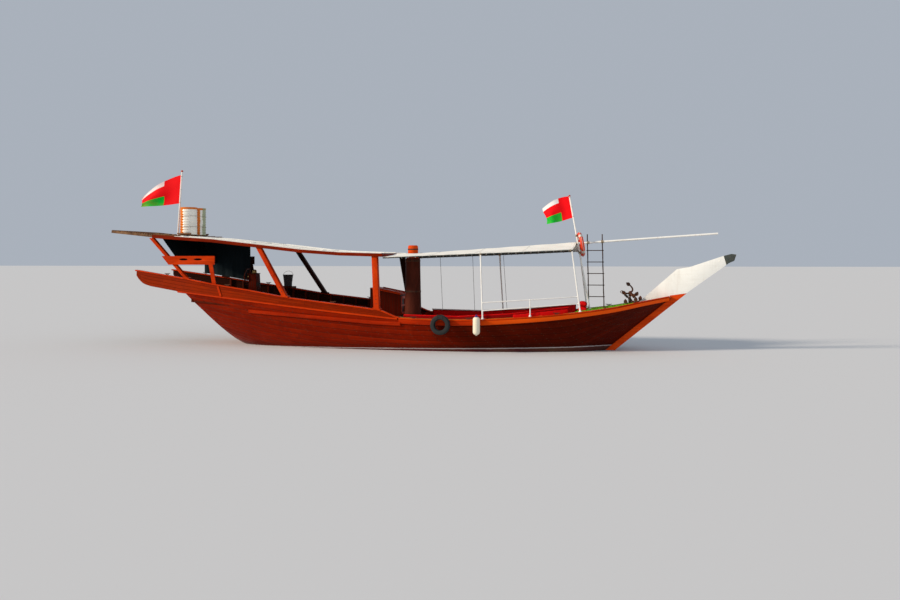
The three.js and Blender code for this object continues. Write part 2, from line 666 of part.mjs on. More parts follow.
// The canvas: a low gable sheet from edge to edge over the ridge pole
function awning() {
  const across = [-1, 0, 1];
  const ridge = (x) => Math.max(ridgeAt(x), ridgeAt(ridgeStart[0])) + ridgeRadius + gap * 2;
  const sheet = skin([awningX[0], -1100, 990, 2600, awningX[1]].map((x) => {
    const under = across.map((share) => [x, share * (edgeY(x) + 30), ridge(x) - (ridge(x) - edgeZ(x)) * Math.abs(share)]);
    return [...under, ...under.map(([px, y, z]) => [px, y, z + canvasThickness]).reverse()];
  }));
  return sheet.subtract(bar([mast.x, 0, 2700], [mast.x, 0, 3500], mast.shoulderR + 15, 20))
    .subtract(block(awningX[0] - 100, mast.x, -70, 70, 2700, 3500));
}
add('awning', awning(), 'canvas');
add('weather_curtain', curtain(), 'tarp');

// Handrail on the starboard side between the pipes, with its short post
const railRows = { upper: [1510, 1690], lower: [1270, 1480] };
function handrail() {
  const pipeAt = (name, z) => {
    const [footX, headX] = pipeRows[name];
    const share = (z - sheerAt(footX)) / (pipeZ(headX) - sheerAt(footX));
    const y = beamAt(footX) - 40 + (edgeY(headX) - beamAt(footX) + 40) * share;
    return [footX + (headX - footX) * share, -y];
  };
  const rails = Object.values(railRows).map(([z0, z1]) => {
    const [x0, y0] = pipeAt('mid_pipe', z0);
    const [x1, y1] = pipeAt('fore_pipe', z1);
    const bulge = beamAt(2830) - 60;
    const middle = [2830, -bulge, (z0 + z1) / 2];
    return [bar([x0 + 28, y0, z0], middle, 15, 8), bar(middle, [x1 - 29, y1, z1], 15, 8)];
  }).flat();
  const postY = -beamAt(2830) + 60;
  const post = bar([2830, postY, gunwaleTop(2830) - 30], [2830, postY, 1616], 17, 8).subtract(onGunwale);
  return joined(post, ...rails);
}
add('handrail', handrail(), 'whitePaint');

// Benches along both sides of the waist, their cushions, and a small seat forward
const seatTop = 600;
const benchX = [-1060, 3960];
function bench(side) {
  return alongHull(placesBetween(...benchX), (x) => {
    const out = halfBreadth(x, waistSoleTop + 60) - plankThickness - 40;
    const high = Math.min(halfBreadth(x, seatTop - 60) - plankThickness - 12, beamAt(x) - 150);
    const inner = Math.max(high - 560, 170);
    return [[out, waistSoleTop + 1], [high, seatTop - 40], [high, seatTop], [inner, seatTop],
      [inner, waistSoleTop + gap]];
  }, side).intersect(roomInside);
}
addPair('bench', bench, 'varnishedWood');

const backTopRows = [[-1060, 1130], [640, 1100], [2200, 1190], [3960, 1390]];
function cushion(side) {
  return alongHull(placesBetween(benchX[0] + 20, benchX[1] - 20), (x) => {
    const out = beamAt(x) - 131;
    const high = Math.min(halfBreadth(x, seatTop - 60) - plankThickness - 12, beamAt(x) - 150);
    const seatOut = Math.min(high - 2, out - 30);
    const inner = Math.max(seatOut - 520, 190);
    const top = lineAt(backTopRows, x);
    return [[seatOut, seatTop + gap], [out, 800], [out, top], [out - 90, top], [seatOut - 110, seatTop + 70],
      [inner, seatTop + 70], [inner, seatTop + gap]];
  }, side).intersect(hullForm(plankThickness + 4, 800));
}
addPair('seat_cushion', cushion, 'cushionRed');
add('fore_seat', block(4150, 4420, -640, -200, 1150, 1530).subtract(onTurf), 'cushionRed');

// Flagstaffs and flags
const staffRadius = 26;
const bowStaff = { foot: [4480, -90, 1250], head: [3850, -90, 4800] };
const sternStaff = { foot: [-9660, -0, 3670], head: [-9500, 0, 5870] };
function onLine({ foot, head }, z) {
  const share = (z - foot[2]) / (head[2] - foot[2]);
  return foot.map((value, i) => value + (head[i] - value) * share);
}
add('bow_flagstaff', bar(onLine(bowStaff, 1150), bowStaff.head, staffRadius, 10).subtract(onTurf), 'whitePaint');
const staffStepZ = lineAt(overhangTopRows, -9694) + gap;
add('stern_flagstaff', bar(onLine(sternStaff, 3580), sternStaff.head, 30, 10)
  .subtract(block(-9900, -9400, -200, 200, 3500, staffStepZ)), 'whitePaint');
function flag(staff, low, high, fly, [lowDrop, highDrop], reach) {
  const lowAt = onLine(staff, low);
  const highAt = onLine(staff, high);
  const steps = 8;
  const rings = spaced(0, 1, steps).map((share) => {
    const wave = Math.sin(share * Math.PI * 2.2) * 90 * share;
    const place = (at, drop) => [at[0] - reach - fly * share, at[1] + wave, at[2] - drop * share];
    const a = place(lowAt, lowDrop);
    const b = place(highAt, highDrop);
    return [[a[0], a[1] - 4, a[2]], [a[0], a[1] + 4, a[2]], [b[0], b[1] + 4, b[2]], [b[0], b[1] - 4, b[2]]];
  });
  return skin(rings);
}
add('bow_flag', flag(bowStaff, 4110, 4780, 820, [190, 370], 26.6), 'flagCloth');
add('stern_flag', flag(sternStaff, 4750, 5730, 1440, [90, 770], 29.4), 'flagCloth');

// Lifebuoy on the bow staff, ladder against the ridge pole
const buoy = { radius: 320, tube: 55 };
function lifebuoy() {
  const { foot, head } = bowStaff;
  const lean = Math.atan2(foot[0] - head[0], head[2] - foot[2]);
  const [x, y, z] = onLine(bowStaff, 3280);
  const ring = new THREE.TorusGeometry(buoy.radius, buoy.tube, 8, 20);
  ring.rotateY(Math.PI / 2);
  ring.rotateZ(THREE.MathUtils.degToRad(12));
  ring.rotateY(-lean);
  ring.translate(x + (staffRadius + buoy.tube + 1.5) / Math.cos(lean), y, z);
  return solidOf(ring);
}
add('lifebuoy', lifebuoy(), 'buoyRed');

const ladder = { y: ridgeRadius + 18.5, aftX: [4440, 4390], foreX: [4910, 4850], topZ: 3600, rungs: [1650, 2010, 2370, 2730, 3090] };
function ladderSolid() {
  const footZ = 1200;
  const rail = ([x0, x1]) => bar([x0, ladder.y, footZ], [x1, ladder.y, ladder.topZ], 17, 8);
  const rungs = ladder.rungs.map((z) => bar([4415, ladder.y, z], [4875, ladder.y, z], 13, 8));
  return joined(rail(ladder.aftX), rail(ladder.foreX), ...rungs).subtract(onTurf);
}
add('ladder', ladderSolid(), 'darkWood');

// Two drums in a low cradle on the roof
function drums() {
  const x = -9080;
  const base = roofLow(x - 250) + plateHeight + roofCrown + roofBoard + gap * 4;
  const body = (y) => turned([[0, base + 30], [288, base + 30], [288, base + 956], [0, base + 956]], x, y, 20);
  const cradle = block(x - 250, x + 250, -560, 560, base, base + 31);
  return joined(cradle, body(-310), body(310));
}
add('water_drums', drums(), 'drumSteel');

// Tyre and cylinder fenders over the starboard side
const fenderY = (x) => -(beamAt(x) + bandProud);
function tyreFender() {
  const rows = [[190, -85], [275, -85], [303, -55], [303, 55], [275, 85], [190, 85], [165, 60], [165, -60], [190, -85]];
  const geometry = new THREE.LatheGeometry(rows.map(([r, z]) => new THREE.Vector2(r, z)), 20);
  geometry.translate(180, fenderY(180) - 85 - 4.3, 840);
  return solidOf(geometry);
}
add('tyre_fender', tyreFender(), 'rubber');
add('cylinder_fender', turned([[0, 540], [60, 540], [108, 600], [108, 1050], [60, 1110], [0, 1110]], 1280,
  fenderY(1280) - 107.1, 16), 'fenderVinyl');

// Two grapnels lashed together on the foredeck, the upper one with its flukes in the air
function grapnels() {
  const foot = [5800, -200, turfTop(5800) + 45];
  const parts = [bar(foot, [5480, -260, 1800], 22, 6)];
  for (let i = 0; i < 4; i += 1) {
    const angle = i * Math.PI / 2 + 0.4;
    const at = (reach, rise) => {
      const place = foot[0] + Math.cos(angle) * reach;
      return [place, foot[1] + Math.sin(angle) * reach, turfTop(place) + rise];
    };
    const elbow = at(190, 15);
    parts.push(bar(foot, elbow, 22, 6), bar(elbow, at(250, 190), 18, 6));
  }
  const crown = [5720, -200, 1790];
  parts.push(bar([5699, -243, turfTop(5699) - 10], crown, 24, 6));
  const flukes = [
    [[5850, -150, 1725], [5950, -100, 1810]],
    [[5780, -120, 1920], [5595, -40, 2090]],
    [[5590, -250, 1770], [5475, -300, 1850]],
    [[5800, -310, 1690], [5860, -400, 1760]],
  ];
  for (const [elbow, tip] of flukes) parts.push(bar(crown, elbow, 23, 6), bar(elbow, tip, 18, 6));
  return joined(...parts).subtract(onTurf).subtract(onForedeck);
}
add('grapnel_anchors', grapnels(), 'iron');

// Companion box at the fore end of the aft deck
const deckAt = (x) => lineAt(aftDeckRows, x);
function companion() {
  return profile([[-2750, deckAt(-2750) + gap], [-1700, deckAt(-1700) + gap], [-1700, 1650], [-2750, 1850]], 150, 1250);
}
add('companion', companion(), 'varnishedWood');

// Helm: a pedestal with a spoked wheel on its aft side
const helm = { faceX: -6940, wheelX: -7040, z: 2230, radius: 330 };
function pedestal() {
  return profile([[-6970, deckAt(-6970) + gap], [-6620, deckAt(-6620) + gap], [-6680, 2330], [helm.faceX, 2330],
    [helm.faceX, 2100]], -170, 170);
}
add('helm_pedestal', pedestal(), 'varnishedWood');
function wheel() {
  const ring = new THREE.TorusGeometry(helm.radius - 60, 18, 6, 20);
  ring.rotateY(Math.PI / 2);
  ring.translate(helm.wheelX, 0, helm.z);
  const hub = bar([helm.faceX - 0.5, 0, helm.z], [helm.wheelX - 25, 0, helm.z], 42, 12);
  const spokes = Array.from({ length: 3 }, (_, i) => {
    const angle = i * Math.PI / 3;
    const y = Math.cos(angle) * helm.radius;
    const z = Math.sin(angle) * helm.radius;
    return bar([helm.wheelX, -y, helm.z - z], [helm.wheelX, y, helm.z + z], 13, 6);
  });
  return joined(solidOf(ring), hub, ...spokes);
}
add('helm_wheel', wheel(), 'varnishedWood');

export default model;
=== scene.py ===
# Wooden dhow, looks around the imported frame. Metres: +X to the bow, +Y to port, +Z up.
import math
import random

import bmesh
import bpy
from mathutils import Matrix, Vector


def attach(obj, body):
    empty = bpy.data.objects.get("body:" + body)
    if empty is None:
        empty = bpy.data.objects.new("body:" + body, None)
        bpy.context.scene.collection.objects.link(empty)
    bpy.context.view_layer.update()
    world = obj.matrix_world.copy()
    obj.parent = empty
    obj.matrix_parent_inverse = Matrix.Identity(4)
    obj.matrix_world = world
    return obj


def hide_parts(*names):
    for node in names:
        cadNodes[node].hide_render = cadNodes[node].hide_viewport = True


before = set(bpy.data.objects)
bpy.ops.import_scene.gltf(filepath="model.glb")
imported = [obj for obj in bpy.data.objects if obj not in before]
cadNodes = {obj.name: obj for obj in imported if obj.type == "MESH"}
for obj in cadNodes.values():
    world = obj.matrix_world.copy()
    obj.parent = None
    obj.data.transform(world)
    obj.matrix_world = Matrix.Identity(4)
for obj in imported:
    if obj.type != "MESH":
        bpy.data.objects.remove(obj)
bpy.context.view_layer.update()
scene = bpy.context.scene

# Camera: on the starboard side, a little forward of the beam, level
view = {
    "distance": 30.0,
    "azimuth": 13.0,
    "height": 2.76,
    "lens": 37.2,
    "horizon": -0.0433,    # shift that lifts the horizon above the middle
}


def makeCamera(values):
    data = bpy.data.cameras.new("photo_camera")
    data.lens = values["lens"]
    data.sensor_width = 36.0
    data.shift_y = values["horizon"]
    camera = bpy.data.objects.new("photo_camera", data)
    turn = math.radians(values["azimuth"])
    away = values["distance"]
    camera.location = (away * math.sin(turn), -away * math.cos(turn), values["height"])
    camera.rotation_euler = (math.pi / 2, 0, turn)
    scene.collection.objects.link(camera)
    scene.camera = camera


makeCamera(view)
print("camera set")

# Stage: a pale floor at the waterline, a low warm key from the stern quarter and a soft sky
stage = {
    "floorSize": 900.0,
    "floorColour": (0.66, 0.67, 0.68, 1),
    "sky": (0.80, 0.88, 1.0, 1),
    "skyStrength": 0.50,
    "key": (1.0, 0.86, 0.70),
    "keyStrength": 3.5,
    "keyFrom": (-0.80, -0.46, 0.40),
    "keySpread": 9.0,
    "fillFrom": (0.45, -0.85, 0.30),
    "fillStrength": 0.25,
}


def makeSun(name, source, colour, strength, spread):
    data = bpy.data.lights.new(name, "SUN")
    data.color = colour
    data.energy = strength
    data.angle = math.radians(spread)
    sun = bpy.data.objects.new(name, data)
    sun.rotation_euler = Vector(source).to_track_quat("Z", "Y").to_euler()
    scene.collection.objects.link(sun)


def makeStage(values):
    world = bpy.data.worlds.new("studio")
    world.use_nodes = True
    world.node_tree.nodes["Background"].inputs["Color"].default_value = values["sky"]
    world.node_tree.nodes["Background"].inputs["Strength"].default_value = values["skyStrength"]
    scene.world = world
    makeSun("key", values["keyFrom"], values["key"], values["keyStrength"], values["keySpread"])
    makeSun("fill", values["fillFrom"], (0.9, 0.95, 1.0), values["fillStrength"], 40.0)
    half = values["floorSize"] / 2
    corners = [(-half, -half, 0), (half, -half, 0), (half, half, 0), (-half, half, 0)]
    mesh = bpy.data.meshes.new("floor")
    mesh.from_pydata(corners, [], [(0, 1, 2, 3)])
    floor = bpy.data.objects.new("floor", mesh)
    paint = bpy.data.materials.new("floor_pale")
    paint.use_nodes = True
    surface = paint.node_tree.nodes["Principled BSDF"]
    surface.inputs["Base Color"].default_value = values["floorColour"]
    surface.inputs["Roughness"].default_value = 1.0
    surface.inputs["Specular IOR Level"].default_value = 0.0
    mesh.materials.append(paint)
    scene.collection.objects.link(floor)


makeStage(stage)
scene.view_settings.view_transform = "Standard"
print("stage set")


# Node helpers
def addNode(tree, kind, inputs=None, **settings):
    made = tree.nodes.new(kind)
    for key, value in settings.items():
        setattr(made, key, value)
    for key, value in (inputs or {}).items():
        socket = made.inputs[key]
        if isinstance(value, bpy.types.NodeSocket):
            tree.links.new(value, socket)
        else:
            socket.default_value = value
    return made


def mathNode(tree, operation, first, second=0.0, third=0.0, clamp=False):
    made = addNode(tree, "ShaderNodeMath", {0: first, 1: second, 2: third}, operation=operation,
                   use_clamp=clamp)
    return made.outputs[0]


def mixColour(tree, factor, first, second, blend="MIX"):
    made = addNode(tree, "ShaderNodeMix", {0: factor, 6: first, 7: second}, data_type="RGBA",
                   blend_type=blend)
    return made.outputs[2]


def rampOf(tree, value, low, high, smooth=True):
    kind = "SMOOTHSTEP" if smooth else "LINEAR"
    made = addNode(tree, "ShaderNodeMapRange", {0: value, 1: low, 2: high}, interpolation_type=kind)
    return made.outputs[0]


def noiseAt(tree, vector, scale, detail=3.0, rough=0.55, twist=0.0):
    made = addNode(tree, "ShaderNodeTexNoise", {
        "Vector": vector, "Scale": scale, "Detail": detail, "Roughness": rough, "Distortion": twist})
    return made.outputs[0]


def stretched(tree, vector, scale, turn=(0, 0, 0)):
    made = addNode(tree, "ShaderNodeMapping", {"Vector": vector, "Scale": scale, "Rotation": turn})
    return made.outputs[0]


def newGroup(name, inputs, outputs):
    tree = bpy.data.node_groups.new(name, "ShaderNodeTree")
    for label, kind, value in inputs:
        socket = tree.interface.new_socket(label, in_out="INPUT", socket_type=kind)
        if value is not None:
            socket.default_value = value
    for label, kind in outputs:
        tree.interface.new_socket(label, in_out="OUTPUT", socket_type=kind)
    return tree, tree.nodes.new("NodeGroupInput"), tree.nodes.new("NodeGroupOutput")


numberIn = "NodeSocketFloat"
vectorIn = "NodeSocketVector"


# Wood grain: long streaks and fine pores on a vector whose X runs with the timber
def buildGrain():
    tree, given, result = newGroup(
        "woodGrain",
        [("Vector", vectorIn, None), ("Streak", numberIn, 3.0), ("Pore", numberIn, 60.0)],
        [("Tone", numberIn), ("Pores", numberIn), ("Height", numberIn)])
    wide = stretched(tree, given.outputs["Vector"], (0.12, 1, 1))
    fine = stretched(tree, given.outputs["Vector"], (0.05, 1, 1))
    streak = noiseAt(tree, wide, given.outputs["Streak"], 4, 0.6, 0.4)
    pore = noiseAt(tree, fine, given.outputs["Pore"], 2, 0.6)
    patch = noiseAt(tree, given.outputs["Vector"], 0.7, 3)
    tone = mathNode(tree, "MULTIPLY_ADD", streak, 0.6, mathNode(tree, "MULTIPLY", patch, 0.4))
    pores = rampOf(tree, pore, 0.52, 0.7)
    tree.links.new(rampOf(tree, tone, 0.3, 0.7), result.inputs["Tone"])
    tree.links.new(pores, result.inputs["Pores"])
    height = mathNode(tree, "MULTIPLY_ADD", pores, -0.5, tone)
    tree.links.new(height, result.inputs["Height"])
    return tree


# Planks: seams across and butts along, on a vector of run and rise
def buildPlanks():
    tree, given, result = newGroup(
        "plankLines",
        [("Vector", vectorIn, None), ("Width", numberIn, 0.15), ("Length", numberIn, 3.0),
         ("Seam", numberIn, 0.006),
         ("Butt", numberIn, 0.005)],
        [("Seam", numberIn), ("Shade", numberIn), ("Edge", numberIn)])
    split = addNode(tree, "ShaderNodeSeparateXYZ", {0: given.outputs["Vector"]})
    width, length, seam = (given.outputs[label] for label in ("Width", "Length", "Seam"))
    rise = mathNode(tree, "DIVIDE", split.outputs[1], width)
    row = mathNode(tree, "FLOOR", rise)
    slip = addNode(tree, "ShaderNodeTexWhiteNoise", {"W": row}, noise_dimensions="1D").outputs[0]
    run = mathNode(tree, "ADD", mathNode(tree, "DIVIDE", split.outputs[0], length),
                   mathNode(tree, "MULTIPLY", slip, 5))
    place = mathNode(tree, "FLOOR", run)
    both = addNode(tree, "ShaderNodeCombineXYZ", {0: row, 1: place})
    shade = addNode(tree, "ShaderNodeTexWhiteNoise", {0: both.outputs[0]}, noise_dimensions="2D").outputs[0]

    def nearLine(value, size):
        share = mathNode(tree, "FRACT", value)
        edge = mathNode(tree, "MINIMUM", share, mathNode(tree, "SUBTRACT", 1.0, share))
        return mathNode(tree, "MULTIPLY", edge, size)
    across = mathNode(tree, "DIVIDE", nearLine(rise, width), seam)
    along = mathNode(tree, "DIVIDE", nearLine(run, length), given.outputs["Butt"])
    share = mathNode(tree, "MINIMUM", across, along)
    tree.links.new(mathNode(tree, "SUBTRACT", 1.0, rampOf(tree, share, 0.3, 1.0)), result.inputs["Seam"])
    tree.links.new(shade, result.inputs["Shade"])
    tree.links.new(mathNode(tree, "SUBTRACT", 1.0, rampOf(tree, share, 0.5, 5.0)), result.inputs["Edge"])
    return tree


# Weathering: soft blotches, runs that fall down a side, and small chips
def buildWeather():
    tree, given, result = newGroup(
        "weathering",
        [("Vector", vectorIn, None), ("Blotch", numberIn, 1.2), ("Run", numberIn, 5.0),
         ("Chip", numberIn, 30.0)],
        [("Blotch", numberIn), ("Run", numberIn), ("Chip", numberIn)])
    vector = given.outputs["Vector"]
    blotch = noiseAt(tree, vector, given.outputs["Blotch"], 5, 0.6, 0.5)
    falling = stretched(tree, vector, (1, 1, 0.1))
    run = noiseAt(tree, falling, given.outputs["Run"], 4, 0.65)
    chip = noiseAt(tree, vector, given.outputs["Chip"], 3, 0.7)
    gate = rampOf(tree, noiseAt(tree, vector, 2.5, 3), 0.45, 0.62)
    tree.links.new(rampOf(tree, blotch, 0.35, 0.7), result.inputs["Blotch"])
    tree.links.new(rampOf(tree, run, 0.5, 0.75), result.inputs["Run"])
    chips = mathNode(tree, "MULTIPLY", rampOf(tree, chip, 0.58, 0.64), gate)
    tree.links.new(chips, result.inputs["Chip"])
    return tree


# Weave: crossed threads on a flat vector of width and length
def buildWeave():
    tree, given, result = newGroup(
        "clothWeave",
        [("Vector", vectorIn, None), ("Threads", numberIn, 300.0)],
        [("Height", numberIn), ("Tone", numberIn)])
    vector = given.outputs["Vector"]
    threads = given.outputs["Threads"]
    warp = addNode(tree, "ShaderNodeTexWave", {"Vector": vector, "Scale": threads},
                   bands_direction="X").outputs[1]
    weft = addNode(tree, "ShaderNodeTexWave", {"Vector": vector, "Scale": threads},
                   bands_direction="Y").outputs[1]
    slub = noiseAt(tree, stretched(tree, vector, (1, 12, 1)), 14.0, 3)
    tree.links.new(mathNode(tree, "MAXIMUM", warp, weft), result.inputs["Height"])
    tree.links.new(rampOf(tree, slub, 0.3, 0.7), result.inputs["Tone"])
    return tree


grainGroup = buildGrain()
plankGroup = buildPlanks()
weatherGroup = buildWeather()
weaveGroup = buildWeave()


def placeGroup(tree, group, inputs):
    made = addNode(tree, "ShaderNodeGroup", node_tree=group)
    for key, value in inputs.items():
        if isinstance(value, bpy.types.NodeSocket):
            tree.links.new(value, made.inputs[key])
        else:
            made.inputs[key].default_value = value
    return made


def startMaterial(name):
    material = bpy.data.materials.new(name)
    material.use_nodes = True
    tree = material.node_tree
    surface = tree.nodes["Principled BSDF"]
    place = addNode(tree, "ShaderNodeTexCoord").outputs["Object"]
    return material, tree, surface, place


def finishSurface(tree, surface, colour, rough, height=None, strength=0.3, depth=0.004, **fixed):
    tree.links.new(colour, surface.inputs["Base Color"])
    surface.inputs["Specular IOR Level"].default_value = 0.3
    if isinstance(rough, bpy.types.NodeSocket):
        tree.links.new(rough, surface.inputs["Roughness"])
    else:
        surface.inputs["Roughness"].default_value = rough
    if height is not None:
        bump = addNode(tree, "ShaderNodeBump", {"Strength": strength, "Distance": depth, "Height": height})
        tree.links.new(bump.outputs[0], surface.inputs["Normal"])
    for key, value in fixed.items():
        surface.inputs[key].default_value = value


# A stain over a colour, by one output of a node group
def stained(tree, group, output, amount, colour, paint):
    share = mathNode(tree, "MULTIPLY", group.outputs[output], amount)
    return mixColour(tree, share, colour, (*paint, 1))


def alongAxis(tree, place, axis):
    turns = {"X": (0, 0, 0), "Y": (0, 0, -math.pi / 2), "Z": (0, math.pi / 2, 0)}
    return stretched(tree, place, (1, 1, 1), turns[axis])


# Oiled wood: little gloss, and warm where it has any
woodGloss = {"Specular IOR Level": 0.07, "Specular Tint": (1.0, 0.4, 0.15, 1)}


# Timber that isn't planked: posts, rails, boards
def timber(name, light, dark, axis="X", gloss=0.4, worn=(0.30, 0.10, 0.04), wear=0.22, pore=55.0, marks=None):
    material, tree, surface, place = startMaterial(name)
    grain = placeGroup(tree, grainGroup,
                       {"Vector": alongAxis(tree, place, axis), "Streak": 5.0, "Pore": pore})
    weather = placeGroup(tree, weatherGroup, {"Vector": place, "Blotch": 1.7, "Run": 7.0, "Chip": 26.0})
    colour = mixColour(tree, grain.outputs["Tone"], (*dark, 1), (*light, 1))
    shaded = mathNode(tree, "MULTIPLY", grain.outputs["Pores"], 0.45)
    colour = mixColour(tree, shaded, colour, (*[part * 0.45 for part in dark], 1))
    colour = stained(tree, weather, "Blotch", 0.25, colour, dark)
    if marks:
        colour = marks(tree, place, colour)
    colour = stained(tree, weather, "Chip", wear, colour, worn)
    rough = mathNode(tree, "MULTIPLY_ADD", weather.outputs["Blotch"], 0.25, gloss, clamp=True)
    finishSurface(tree, surface, colour, rough, grain.outputs["Height"], 0.25, 0.003, **woodGloss)
    return material


# Decks and boards laid side by side on Object coordinates
def boarded(name, light, dark, width, length, axes="XY", seam=0.006, gloss=0.6,
            seamColour=(0.03, 0.02, 0.015),
            marks=None):
    material, tree, surface, place = startMaterial(name)
    split = addNode(tree, "ShaderNodeSeparateXYZ", {0: place})
    pick = {"X": split.outputs[0], "Y": split.outputs[1], "Z": split.outputs[2]}
    flat = addNode(tree, "ShaderNodeCombineXYZ", {0: pick[axes[0]], 1: pick[axes[1]]}).outputs[0]
    planks = placeGroup(tree, plankGroup, {"Vector": flat, "Width": width, "Length": length, "Seam": seam})
    shift = addNode(tree, "ShaderNodeVectorMath", {0: planks.outputs["Shade"], 1: (31, 17, 9)},
                    operation="MULTIPLY")
    moved = addNode(tree, "ShaderNodeVectorMath", {0: flat, 1: shift.outputs[0]}, operation="ADD").outputs[0]
    grain = placeGroup(tree, grainGroup, {"Vector": moved, "Streak": 9.0, "Pore": 70.0})
    weather = placeGroup(tree, weatherGroup, {"Vector": place, "Blotch": 0.9, "Run": 6.0, "Chip": 22.0})
    tone = mathNode(tree, "MULTIPLY_ADD", planks.outputs["Shade"], 0.55,
                    mathNode(tree, "MULTIPLY", grain.outputs["Tone"], 0.45))
    colour = mixColour(tree, tone, (*dark, 1), (*light, 1))
    colour = stained(tree, grain, "Pores", 0.35, colour, [p * 0.5 for p in dark])
    colour = stained(tree, weather, "Blotch", 0.3, colour, dark)
    colour = mixColour(tree, planks.outputs["Seam"], colour, (*seamColour, 1))
    if marks:
        colour = marks(tree, place, colour)
    rough = mathNode(tree, "MULTIPLY_ADD", weather.outputs["Blotch"], 0.2, gloss, clamp=True)
    height = mathNode(tree, "MULTIPLY_ADD", planks.outputs["Seam"], -2.5, grain.outputs["Height"])
    finishSurface(tree, surface, colour, rough, height, 0.4, 0.004, **woodGloss)
    return material


# Hull topsides: varnished planks on the run and rise of the strakes, with the boot top by height
hullPaint = {
    "light": (0.29, 0.015, 0.0015),
    "dark": (0.13, 0.005, 0.001),
    "forward": 0.36,        # painted shade: the fore planks are darkened, standing in for the bow turned from the light
    "seam": (0.022, 0.005, 0.003),
    "plankLength": 5.2,
    "seamWidth": 0.045,
    "bootLine": 0.075,      # height of the boot line amidships
    "bootRise": 0.0155,     # it rises towards the bow
    "bootWidth": 0.028,
    "bootColour": (0.55, 0.50, 0.50),
    "bottom": (0.10, 0.012, 0.022),
    "slime": (0.10, 0.11, 0.05),
}


def hullPlankMaterial(values, name="hull_varnish", boot=True, across=0.0):
    material, tree, surface, place = startMaterial(name)
    if across:
        parts = addNode(tree, "ShaderNodeSeparateXYZ", {0: place})
        rise = mathNode(tree, "DIVIDE", parts.outputs[2], across)
        run = addNode(tree, "ShaderNodeCombineXYZ", {0: parts.outputs[1], 1: rise}).outputs[0]
    else:
        run = addNode(tree, "ShaderNodeUVMap", uv_map="run").outputs[0]
    planks = placeGroup(tree, plankGroup, {
        "Vector": run, "Width": 1.0, "Length": values["plankLength"], "Seam": values["seamWidth"]})
    push = addNode(tree, "ShaderNodeVectorMath", {0: planks.outputs["Shade"], 1: (23, 11, 5)},
                   operation="MULTIPLY")
    moved = addNode(tree, "ShaderNodeVectorMath", {0: place, 1: push.outputs[0]}, operation="ADD").outputs[0]
    grain = placeGroup(tree, grainGroup, {"Vector": moved, "Streak": 9.0, "Pore": 60.0})
    weather = placeGroup(tree, weatherGroup, {"Vector": place, "Blotch": 0.8, "Run": 4.5, "Chip": 22.0})
    tone = mathNode(tree, "MULTIPLY_ADD", planks.outputs["Shade"], 0.5,
                    mathNode(tree, "MULTIPLY", grain.outputs["Tone"], 0.5))
    colour = mixColour(tree, tone, (*values["dark"], 1), (*values["light"], 1))
    colour = stained(tree, weather, "Blotch", 0.35, colour, values["dark"])
    colour = stained(tree, weather, "Run", 0.22, colour, (0.38, 0.022, 0.003))
    colour = stained(tree, grain, "Pores", 0.3, colour, values["seam"])
    colour = stained(tree, planks, "Seam", 0.85, colour, values["seam"])
    colour = stained(tree, weather, "Chip", 0.12, colour, (0.30, 0.10, 0.04))
    # Painted shade: the planks darken towards the bow, standing in for the fore hull turned from the light
    length = addNode(tree, "ShaderNodeSeparateXYZ", {0: place}).outputs[0]
    forwardShade = mathNode(tree, "ADD", length, mathNode(tree, "MULTIPLY", weather.outputs["Blotch"], 1.2))
    forwardShade = mathNode(tree, "MULTIPLY", rampOf(tree, forwardShade, -1.2, 2.4), 1 - values["forward"])
    colour = mixColour(tree, forwardShade, colour, (0.006, 0.001, 0.0005, 1))
    rough = mathNode(tree, "MULTIPLY_ADD", weather.outputs["Blotch"], 0.25, 0.30, clamp=True)
    if boot:
        split = addNode(tree, "ShaderNodeSeparateXYZ", {0: place})
        line = mathNode(tree, "MULTIPLY_ADD", split.outputs[0], values["bootRise"], values["bootLine"])
        above = mathNode(tree, "SUBTRACT", split.outputs[2], line)
        ragged = mathNode(tree, "MULTIPLY_ADD", noiseAt(tree, place, 9.0, 3), 0.02,
                          mathNode(tree, "SUBTRACT", above, 0.01))
        width = values["bootWidth"]
        damp = mathNode(tree, "SUBTRACT", 1.0, rampOf(tree, above, 0.0, 0.30))
        colour = mixColour(tree, mathNode(tree, "MULTIPLY", damp, 0.45), colour, (*values["seam"], 1))
        onLine = mathNode(tree, "SUBTRACT", 1.0, rampOf(tree, ragged, width * 0.8, width))
        colour = mixColour(tree, mathNode(tree, "MULTIPLY", onLine, 0.8), colour, (*values["bootColour"], 1))
        under = mathNode(tree, "SUBTRACT", 1.0, rampOf(tree, ragged, -0.006, 0.0))
        slimed = mathNode(tree, "MULTIPLY", weather.outputs["Blotch"], 0.4)
        bottom = mixColour(tree, slimed, (*values["bottom"], 1), (*values["slime"], 1))
        colour = mixColour(tree, under, colour, bottom)
        rough = mathNode(tree, "MULTIPLY_ADD", under, 0.35, rough, clamp=True)
    height = mathNode(tree, "MULTIPLY_ADD", planks.outputs["Seam"], -2.0, grain.outputs["Height"])
    finishSurface(tree, surface, colour, rough, height, 0.35, 0.004, **woodGloss)
    return material


def bottomMaterial(values):
    material, tree, surface, place = startMaterial("bottom_paint")
    weather = placeGroup(tree, weatherGroup, {"Vector": place, "Blotch": 1.6, "Run": 5.0, "Chip": 18.0})
    grain = placeGroup(tree, grainGroup, {"Vector": place, "Streak": 6.0, "Pore": 40.0})
    slimed = mathNode(tree, "MULTIPLY", weather.outputs["Blotch"], 0.5)
    colour = mixColour(tree, slimed, (*values["bottom"], 1), (*values["slime"], 1))
    colour = stained(tree, weather, "Chip", 0.7, colour, (0.35, 0.33, 0.27))
    height = mathNode(tree, "ADD", grain.outputs["Height"], weather.outputs["Chip"])
    finishSurface(tree, surface, colour, 0.72, height, 0.5, 0.006)
    return material


